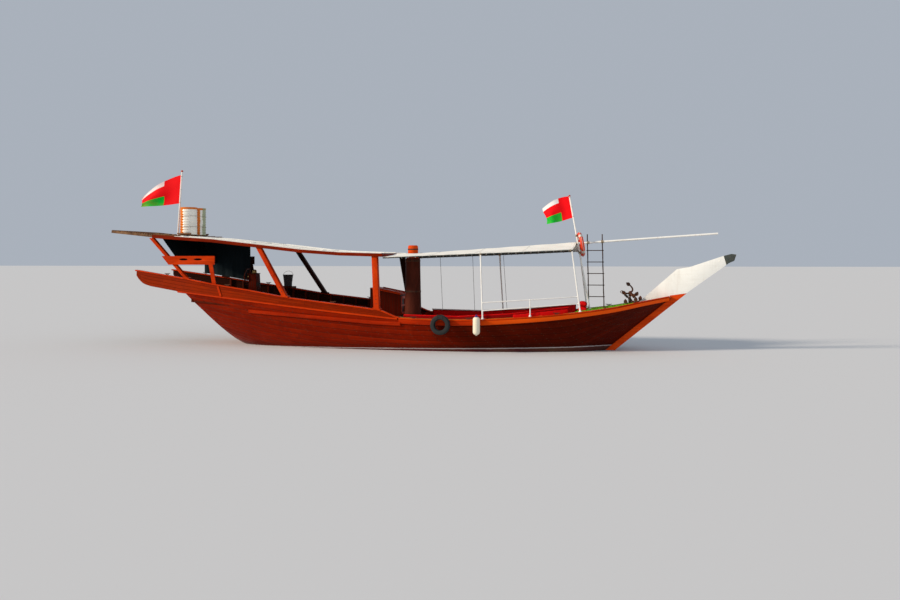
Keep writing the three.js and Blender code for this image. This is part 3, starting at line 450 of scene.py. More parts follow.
def paintedWood(name, paint, under, chips=0.8, axis="X", gloss=0.42):
    material, tree, surface, place = startMaterial(name)
    grain = placeGroup(tree, grainGroup,
                       {"Vector": alongAxis(tree, place, axis), "Streak": 4.0, "Pore": 45.0})
    weather = placeGroup(tree, weatherGroup, {"Vector": place, "Blotch": 1.3, "Run": 6.0, "Chip": 20.0})
    dull = [part * 0.80 for part in paint]
    colour = mixColour(tree, mathNode(tree, "MULTIPLY", weather.outputs["Blotch"], 0.4), (*paint, 1),
                       (*dull, 1))
    colour = stained(tree, weather, "Run", 0.18, colour, (0.42, 0.30, 0.20))
    colour = stained(tree, grain, "Pores", 0.10, colour, under)
    colour = stained(tree, weather, "Chip", chips, colour, under)
    rough = mathNode(tree, "MULTIPLY_ADD", weather.outputs["Blotch"], 0.25, gloss, clamp=True)
    height = mathNode(tree, "MULTIPLY_ADD", weather.outputs["Chip"], -1.5, grain.outputs["Height"])
    finishSurface(tree, surface, colour, rough, height, 0.22, 0.003)
    return material


def paintedSteel(name, paint, rust=0.5, gloss=0.32, stripe=None):
    material, tree, surface, place = startMaterial(name)
    weather = placeGroup(tree, weatherGroup, {"Vector": place, "Blotch": 2.6, "Run": 9.0, "Chip": 34.0})
    dull = [part * 0.82 for part in paint]
    colour = mixColour(tree, mathNode(tree, "MULTIPLY", weather.outputs["Blotch"], 0.5), (*paint, 1),
                       (*dull, 1))
    if stripe:
        colour = stripe(tree, place, colour)
    stain = mathNode(tree, "MULTIPLY", weather.outputs["Run"], rust * 0.35)
    colour = mixColour(tree, stain, colour, (0.36, 0.14, 0.04, 1))
    chips = mathNode(tree, "MULTIPLY", weather.outputs["Chip"], rust)
    colour = mixColour(tree, chips, colour, (0.16, 0.05, 0.02, 1))
    rough = mathNode(tree, "MULTIPLY_ADD", chips, 0.45, gloss, clamp=True)
    finishSurface(tree, surface, colour, rough, weather.outputs["Chip"], 0.2, 0.002)
    return material


def rustyIron(name, steel=(0.06, 0.045, 0.04), rust=(0.19, 0.07, 0.03)):
    material, tree, surface, place = startMaterial(name)
    weather = placeGroup(tree, weatherGroup, {"Vector": place, "Blotch": 6.0, "Run": 12.0, "Chip": 60.0})
    pits = noiseAt(tree, place, 90.0, 4, 0.7)
    colour = mixColour(tree, weather.outputs["Blotch"], (*steel, 1), (*rust, 1))
    colour = mixColour(tree, rampOf(tree, pits, 0.5, 0.75), colour, (0.30, 0.12, 0.04, 1))
    rough = mathNode(tree, "MULTIPLY_ADD", pits, 0.3, 0.6, clamp=True)
    finishSurface(tree, surface, colour, rough, pits, 0.5, 0.003, Metallic=0.2)
    return material


def clothMaterial(name, paint, shade, threads, sheen=0.3, gloss=0.85, uv=True, stripes=None, depth=0.001):
    material, tree, surface, place = startMaterial(name)
    flat = addNode(tree, "ShaderNodeUVMap", uv_map="run").outputs[0] if uv else place
    weave = placeGroup(tree, weaveGroup, {"Vector": flat, "Threads": threads})
    weather = placeGroup(tree, weatherGroup, {"Vector": place, "Blotch": 1.1, "Run": 3.0, "Chip": 16.0})
    colour = mixColour(tree, mathNode(tree, "MULTIPLY", weave.outputs["Tone"], 0.5), (*paint, 1), (*shade, 1))
    if stripes:
        colour = stripes(tree, flat, colour)
    colour = stained(tree, weather, "Blotch", 0.28, colour, shade)
    finishSurface(tree, surface, colour, gloss, weave.outputs["Height"], 0.35, depth, **{
        "Specular IOR Level": 0.08, "Sheen Weight": sheen, "Sheen Roughness": 0.5})
    return material


def moulded(name, paint, gloss=0.4, bump=140.0, scuff=0.5, marks=None):
    material, tree, surface, place = startMaterial(name)
    weather = placeGroup(tree, weatherGroup, {"Vector": place, "Blotch": 5.0, "Run": 9.0, "Chip": 40.0})
    fine = noiseAt(tree, place, bump, 2, 0.6)
    dull = [part * 0.7 + 0.04 for part in paint]
    colour = mixColour(tree, mathNode(tree, "MULTIPLY", weather.outputs["Blotch"], scuff), (*paint, 1),
                       (*dull, 1))
    if marks:
        colour = marks(tree, place, colour)
    rough = mathNode(tree, "MULTIPLY_ADD", weather.outputs["Blotch"], 0.25, gloss, clamp=True)
    finishSurface(tree, surface, colour, rough, fine, 0.15, 0.001)
    return material


def ropeMaterial(name, paint, shade):
    material, tree, surface, place = startMaterial(name)
    fibre = noiseAt(tree, stretched(tree, place, (1, 1, 0.4)), 160.0, 3, 0.7)
    blotch = noiseAt(tree, place, 6.0, 3)
    colour = mixColour(tree, fibre, (*shade, 1), (*paint, 1))
    colour = mixColour(tree, mathNode(tree, "MULTIPLY", rampOf(tree, blotch, 0.45, 0.7), 0.5), colour,
                       (*shade, 1))
    finishSurface(tree, surface, colour, 0.9, fibre, 0.5, 0.002)
    return material


def turfMaterial():
    material, tree, surface, place = startMaterial("turf_blades")
    patch = noiseAt(tree, place, 3.0, 4, 0.6)
    single = noiseAt(tree, place, 85.0, 2, 0.7)
    colour = mixColour(tree, rampOf(tree, single, 0.35, 0.65), (0.06, 0.26, 0.005, 1), (0.28, 0.58, 0.012, 1))
    colour = mixColour(tree, mathNode(tree, "MULTIPLY", rampOf(tree, patch, 0.45, 0.7), 0.6), colour,
                       (0.34, 0.46, 0.02, 1))
    finishSurface(tree, surface, colour, 0.65, single, 0.5, 0.004)
    return material


def glazedMaterial(name, paint, gloss=0.3, metal=1.0):
    material, tree, surface, place = startMaterial(name)
    blotch = noiseAt(tree, place, 9.0, 5, 0.65)
    colour = mixColour(tree, rampOf(tree, blotch, 0.4, 0.7), (*paint, 1),
                       (*[part * 0.45 for part in paint], 1))
    rough = mathNode(tree, "MULTIPLY_ADD", blotch, 0.35, gloss, clamp=True)
    finishSurface(tree, surface, colour, rough, blotch, 0.2, 0.002, Metallic=metal)
    return material


def mastHead(tree, place, colour):
    split = addNode(tree, "ShaderNodeSeparateXYZ", {0: place})
    upper = rampOf(tree, split.outputs[2], 2.855, 2.875)
    return mixColour(tree, upper, colour, (0.62, 0.060, 0.006, 1))


# Drums: brown on the starboard drum's aft side, on the port drum from its middle forward and on
# the top rims; green-grey on the port drum's forward side
def drumMarks(tree, place, colour):
    split = addNode(tree, "ShaderNodeSeparateXYZ", {0: place})
    along, across, up = split.outputs
    ragged = mathNode(tree, "MULTIPLY", mathNode(tree, "SUBTRACT", noiseAt(tree, place, 5.0, 4), 0.5), 0.05)
    offset = mathNode(tree, "ADD", mathNode(tree, "ADD", along, 9.08), ragged)
    toPort = mathNode(tree, "GREATER_THAN", across, 0.0)
    toStarboard = mathNode(tree, "SUBTRACT", 1.0, toPort)
    aft = mathNode(tree, "SUBTRACT", 1.0, rampOf(tree, offset, -0.065, -0.045))
    aft = mathNode(tree, "MULTIPLY", aft, toStarboard)
    seen = mathNode(tree, "MULTIPLY", rampOf(tree, offset, -0.04, 0.0),
                    mathNode(tree, "SUBTRACT", 1.0, rampOf(tree, offset, 0.19, 0.205)))
    stripe = mathNode(tree, "MAXIMUM", aft, mathNode(tree, "MULTIPLY", seen, toPort))
    rim = rampOf(tree, mathNode(tree, "ADD", up, mathNode(tree, "MULTIPLY", ragged, 0.3)), 4.51, 4.525)
    brown = mixColour(tree, mathNode(tree, "MAXIMUM", stripe, rim), colour, (0.72, 0.18, 0.008, 1))
    front = mathNode(tree, "MULTIPLY", rampOf(tree, offset, 0.245, 0.255), toPort)
    return mixColour(tree, mathNode(tree, "MULTIPLY", front, 0.85), brown, (0.30, 0.34, 0.17, 1))


# The roof's white paint stops short of the stern, where the boards are bare
def bareAft(tree, place, colour):
    split = addNode(tree, "ShaderNodeSeparateXYZ", {0: place})
    ragged = mathNode(tree, "MULTIPLY_ADD", noiseAt(tree, place, 6.0, 3), 0.08, split.outputs[0])
    bare = mathNode(tree, "SUBTRACT", 1.0, rampOf(tree, ragged, -8.83, -8.80))
    return mixColour(tree, bare, colour, (0.20, 0.045, 0.012, 1))


# Painted highlight: the strake and the band under the cap turn from oiled brown to a bright orange towards
# the bow, standing in for sunlight on the bulging band
def litBandForward(tree, place, colour):
    split = addNode(tree, "ShaderNodeSeparateXYZ", {0: place})
    share = rampOf(tree, mathNode(tree, "MULTIPLY_ADD", noiseAt(tree, place, 1.5, 3), 0.8,
                                  split.outputs[0]), 0.9, 3.2)
    return mixColour(tree, mathNode(tree, "MULTIPLY", share, 0.94), colour, (0.92, 0.105, 0.006, 1))


orangeLight = (0.64, 0.050, 0.004)
orangeDark = (0.38, 0.020, 0.002)
redBrown = (0.11, 0.010, 0.003)
deepBrown = (0.035, 0.006, 0.003)

bulwarkPaint = {
    **hullPaint,
    "light": (0.30, 0.024, 0.002),
    "dark": (0.175, 0.010, 0.001),
    # the bulwark gets no painted forward shade
    "forward": 1.0,
}
finish = {
    "hull": hullPlankMaterial(hullPaint),
    "bulwark": hullPlankMaterial(bulwarkPaint, "bulwark_varnish", False),
    "bottom": bottomMaterial(hullPaint),
    "transom": hullPlankMaterial(hullPaint, "transom_varnish", True, 0.19),
    "mast": timber("mast_wood", (0.12, 0.026, 0.016), (0.052, 0.013, 0.009), "Z", 0.5, wear=0.1,
                   marks=mastHead),
    # the strake's fore end carries a painted highlight
    "strake": timber("strake_wood", (0.48, 0.028, 0.003), (0.28, 0.013, 0.002), "X", 0.34,
                     marks=litBandForward),
    "stem": timber("stem_wood", (0.84, 0.085, 0.008), (0.50, 0.036, 0.004), "X"),
    "orangeX": timber("orange_rail", orangeLight, orangeDark, "X", 0.32),
    "orangeY": timber("orange_beam", orangeLight, orangeDark, "Y", 0.34),
    "orangeZ": timber("orange_post", orangeLight, orangeDark, "Z", 0.34),
    "fascia": timber("fascia_wood", (0.25, 0.016, 0.002), (0.11, 0.006, 0.001), "X", 0.4),
    "brownX": timber("brown_rail", redBrown, deepBrown, "X"),
    "brownZ": timber("brown_post", redBrown, deepBrown, "Z"),
    # painted shade: near-black wood for faces that stand in the dark, the bulwarks' insides and the port side
    # board
    "shadedInnerWall": timber("shaded_wall", (0.040, 0.008, 0.005), (0.014, 0.004, 0.003), "X", 0.6, wear=0.1),
    "darkX": timber("dark_pole", (0.09, 0.04, 0.02), (0.03, 0.016, 0.010), "X", 0.6),
    "slat": timber("weathered_slat", (0.30, 0.17, 0.09), (0.09, 0.045, 0.025), "Y", 0.75,
                   (0.42, 0.34, 0.25), 0.5),
    "deck": boarded("deck_planks", (0.36, 0.20, 0.10), (0.19, 0.09, 0.045), 0.11, 3.4),
    "ceiling": boarded("roof_underside", (0.26, 0.11, 0.05), (0.12, 0.045, 0.02), 0.14, 2.9),
    "panel": boarded("tongued_panel", (0.10, 0.006, 0.002), (0.05, 0.003, 0.001), 0.09, 9.0, "ZX", 0.005,
                     0.4),
    "roof": boarded("roof_paint", (0.88, 0.86, 0.79), (0.76, 0.73, 0.66), 1.22, 2.44, "XY", 0.008, 0.5,
                    (0.40, 0.36, 0.30), bareAft),
    "white": paintedWood("white_board", (0.93, 0.93, 0.87), (0.42, 0.36, 0.26), 0.14),
    "grey": paintedWood("dark_board", (0.045, 0.058, 0.052), (0.20, 0.15, 0.10), 0.4),
    "pipe": paintedSteel("white_pipe", (0.86, 0.86, 0.82), 0.45),
    "iron": rustyIron("rusty_iron", (0.035, 0.018, 0.014), (0.13, 0.035, 0.014)),
    # painted shade: dark frame pipes under the awning's edges, standing in for the canvas underside in shadow
    "framePipe": paintedSteel("frame_pipe", (0.035, 0.045, 0.04), 0.3),
    "darkIron": rustyIron("black_iron", (0.035, 0.03, 0.028), (0.09, 0.045, 0.025)),
    "engine": paintedSteel("engine_paint", (0.13, 0.17, 0.17), 0.4),
    "bronze": glazedMaterial("old_bronze", (0.48, 0.33, 0.13)),
    "canvas": clothMaterial("awning_canvas", (0.93, 0.92, 0.86), (0.80, 0.77, 0.68), 130.0, 0.1),
    # painted shade in part: a dark tarpaulin, darkened further to stand in for the unlit space behind the
    # curtain
    "tarp": clothMaterial("curtain_tarpaulin", (0.007, 0.016, 0.019), (0.004, 0.008, 0.013), 90.0, 0.0, 0.7),
    "cushion": clothMaterial("cushion_cloth", (0.66, 0.003, 0.003), (0.42, 0.002, 0.002), 220.0, 0.0, 0.8,
                             False),
    "piping": clothMaterial("cushion_piping", (0.80, 0.72, 0.68), (0.60, 0.45, 0.42), 220.0, 0.2, 0.8, False),
    # painted shade: a dark copy of the cushion cloth for the backs' outer faces
    "shadedCushion": clothMaterial("cushion_shade_band", (0.26, 0.002, 0.003), (0.14, 0.001, 0.002), 220.0, 0.0,
                                 0.8, False),
    "rubber": moulded("tyre_rubber", (0.010, 0.013, 0.013), 0.6, 160.0, 0.25),
    "vinyl": moulded("fender_vinyl", (0.86, 0.80, 0.62), 0.35, 160.0, 0.4),
    "blueVinyl": moulded("fender_end", (0.02, 0.03, 0.22), 0.35, 160.0, 0.3),
    "bucket": moulded("bucket_rubber", (0.035, 0.03, 0.035), 0.55),
    "rope": ropeMaterial("hemp_rope", (0.50, 0.40, 0.26), (0.20, 0.14, 0.08)),
    "darkRope": ropeMaterial("tarred_rope", (0.09, 0.065, 0.05), (0.025, 0.018, 0.015)),
    "whiteRope": ropeMaterial("white_rope", (0.80, 0.78, 0.72), (0.50, 0.47, 0.42)),
    "buoy": moulded("buoy_plastic", (0.72, 0.045, 0.010), 0.4, 160.0, 0.3),
    "drum": paintedSteel("drum_paint", (0.92, 0.89, 0.80), 0.5, 0.22, drumMarks),
    # painted shade: the port posts in near-black, standing in for their shaded faces
    "farZ": timber("shaded_post", (0.040, 0.009, 0.006), (0.014, 0.004, 0.003), "Z", 0.5, wear=0.1),
    "lime": paintedWood("lime_line", (0.38, 0.42, 0.05), (0.30, 0.20, 0.10), 0.5),
    "turf": turfMaterial(),
    "brass": glazedMaterial("lamp_brass", (0.62, 0.42, 0.16), 0.25),
}
print("finishes made:", len(finish))


# Shapes are (points, faces, runs): runs are each point's place on its surface, for the pattern
def gridFaces(rows, columns, start=0, turned=False):
    faces = []
    for i in range(rows - 1):
        for k in range(columns - 1):
            a = start + i * columns + k
            face = (a, a + 1, a + columns + 1, a + columns)
            faces.append(face[::-1] if turned else face)
    return faces


def thickSheet(outer, inner, runs=None):
    rows, columns = len(outer), len(outer[0])
    points = [point for row in outer for point in row] + [point for row in inner for point in row]
    count = rows * columns
    faces = gridFaces(rows, columns) + gridFaces(rows, columns, count, True)
    border = [(0, k) for k in range(columns)] + [(i, columns - 1) for i in range(1, rows)]
    border += [(rows - 1, k) for k in range(columns - 2, -1, -1)] + [(i, 0) for i in range(rows - 2, 0, -1)]
    ids = [i * columns + k for i, k in border]
    for a, b in zip(ids, ids[1:] + ids[:1]):
        faces.append((b, a, a + count, b + count))
    flat = [run for row in runs for run in row] if runs else [(p[0], p[1]) for p in points[:count]]
    return points, faces, flat + flat


def loft(rings, capped=True):
    sides = len(rings[0])
    points = [point for ring in rings for point in ring]
    faces = []
    for i in range(len(rings) - 1):
        for k in range(sides):
            a, b = i * sides + k, i * sides + (k + 1) % sides
            faces.append((a, b, b + sides, a + sides))
    if capped:
        faces.append(tuple(range(sides - 1, -1, -1)))
        last = (len(rings) - 1) * sides
        faces.append(tuple(range(last, last + sides)))
    else:
        last = (len(rings) - 1) * sides
        faces.extend((last + k, last + (k + 1) % sides, (k + 1) % sides, k) for k in range(sides))
    return points, faces, None


def framesAlong(path, closed=False):
    path = [Vector(point) for point in path]
    count = len(path)
    tangents = []
    for i in range(count):
        before = path[i - 1] if closed or i else path[0]
        after = path[(i + 1) % count] if closed or i < count - 1 else path[-1]
        tangents.append((after - before).normalized())
    side = tangents[0].cross(Vector((0, 0, 1)))
    if side.length < 0.1:
        side = tangents[0].cross(Vector((1, 0, 0)))
    side.normalize()
    frames = []
    for point, tangent in zip(path, tangents):
        side = (side - tangent * side.dot(tangent)).normalized()
        frames.append((point, side, tangent.cross(side)))
    return frames


def tube(path, radius, sides=12, closed=False):
    rings = []
    for i, (point, side, other) in enumerate(framesAlong(path, closed)):
        size = radius(i / max(len(path) - 1, 1)) if callable(radius) else radius
        ring = []
        for k in range(sides):
            turn = 2 * math.pi * k / sides
            ring.append(tuple(point + side * (math.cos(turn) * size) + other * (math.sin(turn) * size)))
        rings.append(ring)
    return loft(rings, not closed)


def rod(start, end, radius, sides=12, cap=0.15):
    start, end = Vector(start), Vector(end)
    along = (end - start).normalized() * radius * cap
    path = [start, start + along, end - along, end]
    return tube(path, lambda share: radius * (1 - cap) if share in (0, 1) else radius, sides)


def turnedShape(rows, origin, axis=(0, 0, 1), sides=32):
    turn = Vector((0, 0, 1)).rotation_difference(Vector(axis)).to_matrix()
    origin = Vector(origin)
    closed = rows[0][0] > 1e-6
    rings = []
    for radius, height in rows:
        if radius < 1e-6:
            rings.append([(1e-5 * math.cos(2 * math.pi * k / sides),
                           1e-5 * math.sin(2 * math.pi * k / sides), height)
                          for k in range(sides)])
        else:
            rings.append([(radius * math.cos(2 * math.pi * k / sides),
                           radius * math.sin(2 * math.pi * k / sides), height)
                          for k in range(sides)])
    points, faces, runs = loft(rings, not closed)
    return [tuple(origin + turn @ Vector(point)) for point in points], faces, runs


def boxShape(low, high):
    (x0, y0, z0), (x1, y1, z1) = low, high
    points = [(x0, y0, z0), (x1, y0, z0), (x1, y1, z0), (x0, y1, z0), (x0, y0, z1), (x1, y0, z1),
              (x1, y1, z1), (x0, y1, z1)]
    return points, [(3, 2, 1, 0), (4, 5, 6, 7), (0, 1, 5, 4), (1, 2, 6, 5), (2, 3, 7, 6), (3, 0, 4, 7)], None


def beamShape(start, end, width, depth, up=(0, 0, 1)):
    start, end = Vector(start), Vector(end)
    along = (end - start).normalized()
    side = along.cross(Vector(up)).normalized()
    rise = side.cross(along)
    rings = []
    for place in (start, end):
        rings.append([tuple(place + side * (a * width / 2) + rise * (b * depth / 2))
                      for a, b in ((-1, -1), (1, -1), (1, 1), (-1, 1))])
    return loft(rings)


def rounded(outline, radius, steps=3):
    result = []
    count = len(outline)
    for i, point in enumerate(outline):
        here = Vector(point)
        before, after = Vector(outline[i - 1]) - here, Vector(outline[(i + 1) % count]) - here
        cut = min(radius, before.length * 0.4, after.length * 0.4)
        a, b = here + before.normalized() * cut, here + after.normalized() * cut
        for k in range(steps + 1):
            share = k / steps
            result.append(tuple(a * (1 - share) ** 2 + here * (2 * share * (1 - share)) + b * share ** 2))
    return result


def makePiece(name, shapes, materials, body="boat", replaces=(), bevel=0.0, sharp=38, ride=True):
    if not isinstance(materials, (list, tuple)):
        materials = [materials]
    mesh = bpy.data.meshes.new(name)
    points, faces, looks, runs = [], [], [], []
    for shape in shapes:
        shapePoints, shapeFaces, shapeRuns = shape[:3]
        look = shape[3] if len(shape) > 3 else 0
        start = len(points)
        points.extend(shapePoints)
        runs.extend(shapeRuns or [(0.0, 0.0)] * len(shapePoints))
        faces.extend(tuple(start + i for i in face) for face in shapeFaces)
        looks.extend([look] * len(shapeFaces))
    mesh.from_pydata([tuple(point) for point in points], [], faces)
    mesh.polygons.foreach_set("material_index", looks)
    layer = mesh.uv_layers.new(name="run")
    for loop in mesh.loops:
        layer.data[loop.index].uv = runs[loop.vertex_index]
    work = bmesh.new()
    work.from_mesh(mesh)
    bmesh.ops.remove_doubles(work, verts=work.verts, dist=2e-5)
    bmesh.ops.recalc_face_normals(work, faces=work.faces)
    if bevel:
        bevelEdges(work, bevel)
    work.to_mesh(mesh)
    work.free()
    for look in materials:
        mesh.materials.append(finish[look] if isinstance(look, str) else look)
    obj = bpy.data.objects.new(name, mesh)
    scene.collection.objects.link(obj)
    smoothByAngle(mesh, sharp)
    if ride:
        settle(obj, body, replaces)
    return obj


def settle(obj, body, replaces=()):
    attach(obj, body)
    if replaces:
        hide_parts(*replaces)


def smoothByAngle(mesh, sharp):
    mesh.shade_smooth()
    mesh.set_sharp_from_angle(angle=math.radians(sharp))


def bevelEdges(work, width, angle=28, segments=2):
    edges = [edge for edge in work.edges if edge.is_manifold
             and edge.calc_face_angle(0) > math.radians(angle)]
    bmesh.ops.bevel(work, geom=edges, offset=width, segments=segments, profile=0.6, affect="EDGES",
                    clamp_overlap=True)


# A CAD node's own form with its triangles merged and its edges eased
def easedCopy(node, look, width, body="boat", name=None, segments=2, flat=1.0):
    mesh = cadNodes[node].data.copy()
    mesh.materials.clear()
    work = bmesh.new()
    work.from_mesh(mesh)
    bmesh.ops.remove_doubles(work, verts=work.verts, dist=2e-5)
    bmesh.ops.dissolve_limit(work, angle_limit=math.radians(flat), verts=work.verts, edges=work.edges)
    bevelEdges(work, width, 28, segments)
    bmesh.ops.triangulate(work, faces=[face for face in work.faces if len(face.verts) > 4])
    for face in work.faces:
        face.material_index = 0
    work.to_mesh(mesh)
    work.free()
    mesh.materials.append(finish[look] if isinstance(look, str) else look)
    obj = bpy.data.objects.new(name or node + "_wood", mesh)
    scene.collection.objects.link(obj)
    smoothByAngle(mesh, 32)
    settle(obj, body, [node])
    return obj


def transformed(shape, matrix):
    return ([tuple(matrix @ Vector(point)) for point in shape[0]], *shape[1:])


def spread(low, high, count):
    return [low + (high - low) * i / (count - 1) for i in range(count)]


def lineAt(rows, place):
    rows = sorted(rows)
    if place <= rows[0][0]:
        return rows[0][1]
    for (x0, z0), (x1, z1) in zip(rows, rows[1:]):
        if place <= x1:
            return z0 + (z1 - z0) * (place - x0) / (x1 - x0)
    return rows[-1][1]


# Geometry Nodes: heads of nails and bolts on a mesh of loose points with normals
def newNodeTree(name, inputs):
    tree = bpy.data.node_groups.new(name, "GeometryNodeTree")
    tree.interface.new_socket("Geometry", in_out="INPUT", socket_type="NodeSocketGeometry")
    tree.interface.new_socket("Geometry", in_out="OUTPUT", socket_type="NodeSocketGeometry")
    for label, kind, value in inputs:
        socket = tree.interface.new_socket(label, in_out="INPUT", socket_type=kind)
        if value is not None:
            socket.default_value = value
    return tree, tree.nodes.new("NodeGroupInput"), tree.nodes.new("NodeGroupOutput")


def setInputs(modifier, tree, values):
    for item in tree.interface.items_tree:
        if item.item_type == "SOCKET" and item.in_out == "INPUT" and item.name in values:
            modifier[item.identifier] = values[item.name]


def bakedPiece(obj, body="boat", replaces=(), sharp=38):
    graph = bpy.context.evaluated_depsgraph_get()
    mesh = bpy.data.meshes.new_from_object(obj.evaluated_get(graph))
    name = obj.name
    bpy.data.objects.remove(obj)
    made = bpy.data.objects.new(name, mesh)
    mesh.name = name
    scene.collection.objects.link(made)
    smoothByAngle(mesh, sharp)
    settle(made, body, replaces)
    return made


def plainObject(name, points, faces=(), normals=None):
    mesh = bpy.data.meshes.new(name)
    mesh.from_pydata([tuple(point) for point in points], [], list(faces))
    if normals:
        facing = mesh.attributes.new("facing", "FLOAT_VECTOR", "POINT")
        facing.data.foreach_set("vector", [part for normal in normals for part in normal])
    obj = bpy.data.objects.new(name, mesh)
    scene.collection.objects.link(obj)
    return obj


def withNodes(obj, tree, values):
    modifier = obj.modifiers.new("nodes", "NODES")
    modifier.node_group = tree
    setInputs(modifier, tree, values)
    return obj


def buildHeads():
    tree, given, result = newNodeTree("headsOnPoints", [
        ("Radius", "NodeSocketFloat", 0.01), ("Rise", "NodeSocketFloat", 0.5),
        ("Material", "NodeSocketMaterial", None)])
    ball = addNode(tree, "GeometryNodeMeshUVSphere", {"Segments": 8, "Rings": 5, "Radius": 1.0})
    size = addNode(tree, "ShaderNodeCombineXYZ", {0: given.outputs["Radius"], 1: given.outputs["Radius"]})
    tall = addNode(tree, "ShaderNodeMath", {0: given.outputs["Radius"], 1: given.outputs["Rise"]},
                   operation="MULTIPLY")
    tree.links.new(tall.outputs[0], size.inputs[2])
    facing = addNode(tree, "GeometryNodeInputNamedAttribute", {"Name": "facing"}, data_type="FLOAT_VECTOR")
    align = addNode(tree, "FunctionNodeAlignRotationToVector", {"Vector": facing.outputs[0]}, axis="Z")
    place = addNode(tree, "GeometryNodeInstanceOnPoints", {
        "Points": given.outputs["Geometry"], "Instance": ball.outputs[0], "Rotation": align.outputs[0],
        "Scale": size.outputs[0]})
    real = addNode(tree, "GeometryNodeRealizeInstances", {0: place.outputs[0]})
    painted = addNode(tree, "GeometryNodeSetMaterial",
                      {"Geometry": real.outputs[0], "Material": given.outputs["Material"]})
    tree.links.new(painted.outputs[0], result.inputs[0])
    return tree


headsTree = buildHeads()


def heads(name, spots, radius, rise, look, body="boat"):
    obj = plainObject(name, [spot[0] for spot in spots], normals=[spot[1] for spot in spots])
    withNodes(obj, headsTree, {"Radius": radius, "Rise": rise, "Material": finish[look]})
    return bakedPiece(obj, body)


# Geometry Nodes: laid rope, three strands twisted along a path
def buildRope():
    tree, given, result = newNodeTree("laidRope", [
        ("Radius", "NodeSocketFloat", 0.01), ("Pitch", "NodeSocketFloat", 0.08),
        ("Step", "NodeSocketFloat", 0.012),
        ("Material", "NodeSocketMaterial", None)])
    line = addNode(tree, "GeometryNodeMeshToCurve", {0: given.outputs["Geometry"]})
    even = addNode(tree, "GeometryNodeResampleCurve",
                   {"Curve": line.outputs[0], "Length": given.outputs["Step"]}, mode="LENGTH")
    run = addNode(tree, "GeometryNodeSplineParameter")
    turns = addNode(tree, "ShaderNodeMath", {0: run.outputs["Length"], 1: given.outputs["Pitch"]},
                    operation="DIVIDE")
    angle = addNode(tree, "ShaderNodeMath", {0: turns.outputs[0], 1: 2 * math.pi}, operation="MULTIPLY")
    tilted = addNode(tree, "GeometryNodeSetCurveTilt", {"Curve": even.outputs[0], "Tilt": angle.outputs[0]})
    ring = addNode(tree, "GeometryNodeCurvePrimitiveCircle", {"Resolution": 12, "Radius": 1.0}, mode="RADIUS")
    index = addNode(tree, "GeometryNodeInputIndex")
    lobe = addNode(tree, "ShaderNodeMath", {0: index.outputs[0], 1: math.pi / 2}, operation="MULTIPLY")
    swell = addNode(tree, "ShaderNodeMath", {0: lobe.outputs[0]}, operation="COSINE")
    scale = addNode(tree, "ShaderNodeMath", {0: swell.outputs[0], 1: 0.16, 2: 0.86}, operation="MULTIPLY_ADD")
    sized = addNode(tree, "ShaderNodeMath", {0: scale.outputs[0], 1: given.outputs["Radius"]},
                    operation="MULTIPLY")
    spot = addNode(tree, "GeometryNodeInputPosition")
    moved = addNode(tree, "ShaderNodeVectorMath", {0: spot.outputs[0], "Scale": sized.outputs[0]},
                    operation="SCALE")
    shaped = addNode(tree, "GeometryNodeSetPosition",
                     {"Geometry": ring.outputs[0], "Position": moved.outputs[0]})
    swept = addNode(tree, "GeometryNodeCurveToMesh", {
        "Curve": tilted.outputs[0], "Profile Curve": shaped.outputs[0], "Fill Caps": True})
    painted = addNode(tree, "GeometryNodeSetMaterial",
                      {"Geometry": swept.outputs[0], "Material": given.outputs["Material"]})
    tree.links.new(painted.outputs[0], result.inputs[0])
    return tree


ropeTree = buildRope()


def rope(name, paths, radius, look, body="boat", pitch=7.0, step=1.0):
    points, edges = [], []
    for path in paths:
        start = len(points)
        points.extend(path)
        edges.extend((start + i, start + i + 1) for i in range(len(path) - 1))
    mesh = bpy.data.meshes.new(name)
    mesh.from_pydata([tuple(point) for point in points], edges, [])
    obj = bpy.data.objects.new(name, mesh)
    scene.collection.objects.link(obj)
    withNodes(obj, ropeTree, {
        "Radius": radius, "Pitch": radius * pitch, "Step": radius * step, "Material": finish[look]})
    return bakedPiece(obj, body, sharp=60)


def sagging(start, end, drop, count=24):
    start, end = Vector(start), Vector(end)
    path = []
    for share in spread(0, 1, count):
        point = start.lerp(end, share)
        point.z -= drop * 4 * share * (1 - share)
        path.append(tuple(point))
    return path


def wraps(centre, axis, radius, turns, rise, steps=16):
    turn = Vector((0, 0, 1)).rotation_difference(Vector(axis)).to_matrix()
    path = []
    for i in range(int(turns * steps) + 1):
        angle = 2 * math.pi * i / steps
        spot = Vector((math.cos(angle) * radius, math.sin(angle) * radius, rise * (i / steps - turns / 2)))
        path.append(tuple(Vector(centre) + turn @ spot))
    return path


# Hull lines: x, half beam, sheer, rabbet, fullness, flare
hullRows = [
    (-8.9, 1.400, 1.750, 0.690, 0.52, 0.80),
    (-8.0, 1.520, 1.665, 0.345, 0.50, 0.80),
    (-7.0, 1.630, 1.560, -0.030, 0.48, 0.80),
    (-5.6, 1.760, 1.415, -0.430, 0.46, 0.82),
    (-4.2, 1.860, 1.270, -0.680, 0.45, 0.84),
    (-2.5, 1.935, 1.110, -0.780, 0.43, 0.86),
    (-0.8, 1.970, 0.975, -0.800, 0.42, 0.86),
    (1.0, 1.925, 0.958, -0.800, 0.44, 0.82),
    (2.7, 1.710, 1.045, -0.800, 0.54, 0.70),
    (4.0, 1.360, 1.160, -0.778, 0.72, 0.50),
    (5.2, 0.960, 1.320, 0.210, 0.86, 0.42),
    (6.2, 0.530, 1.520, 1.033, 0.94, 0.36),
    (6.9, 0.190, 1.650, 1.610, 1.00, 0.30),
]
keelHalf = 0.075
plankThick = 0.055
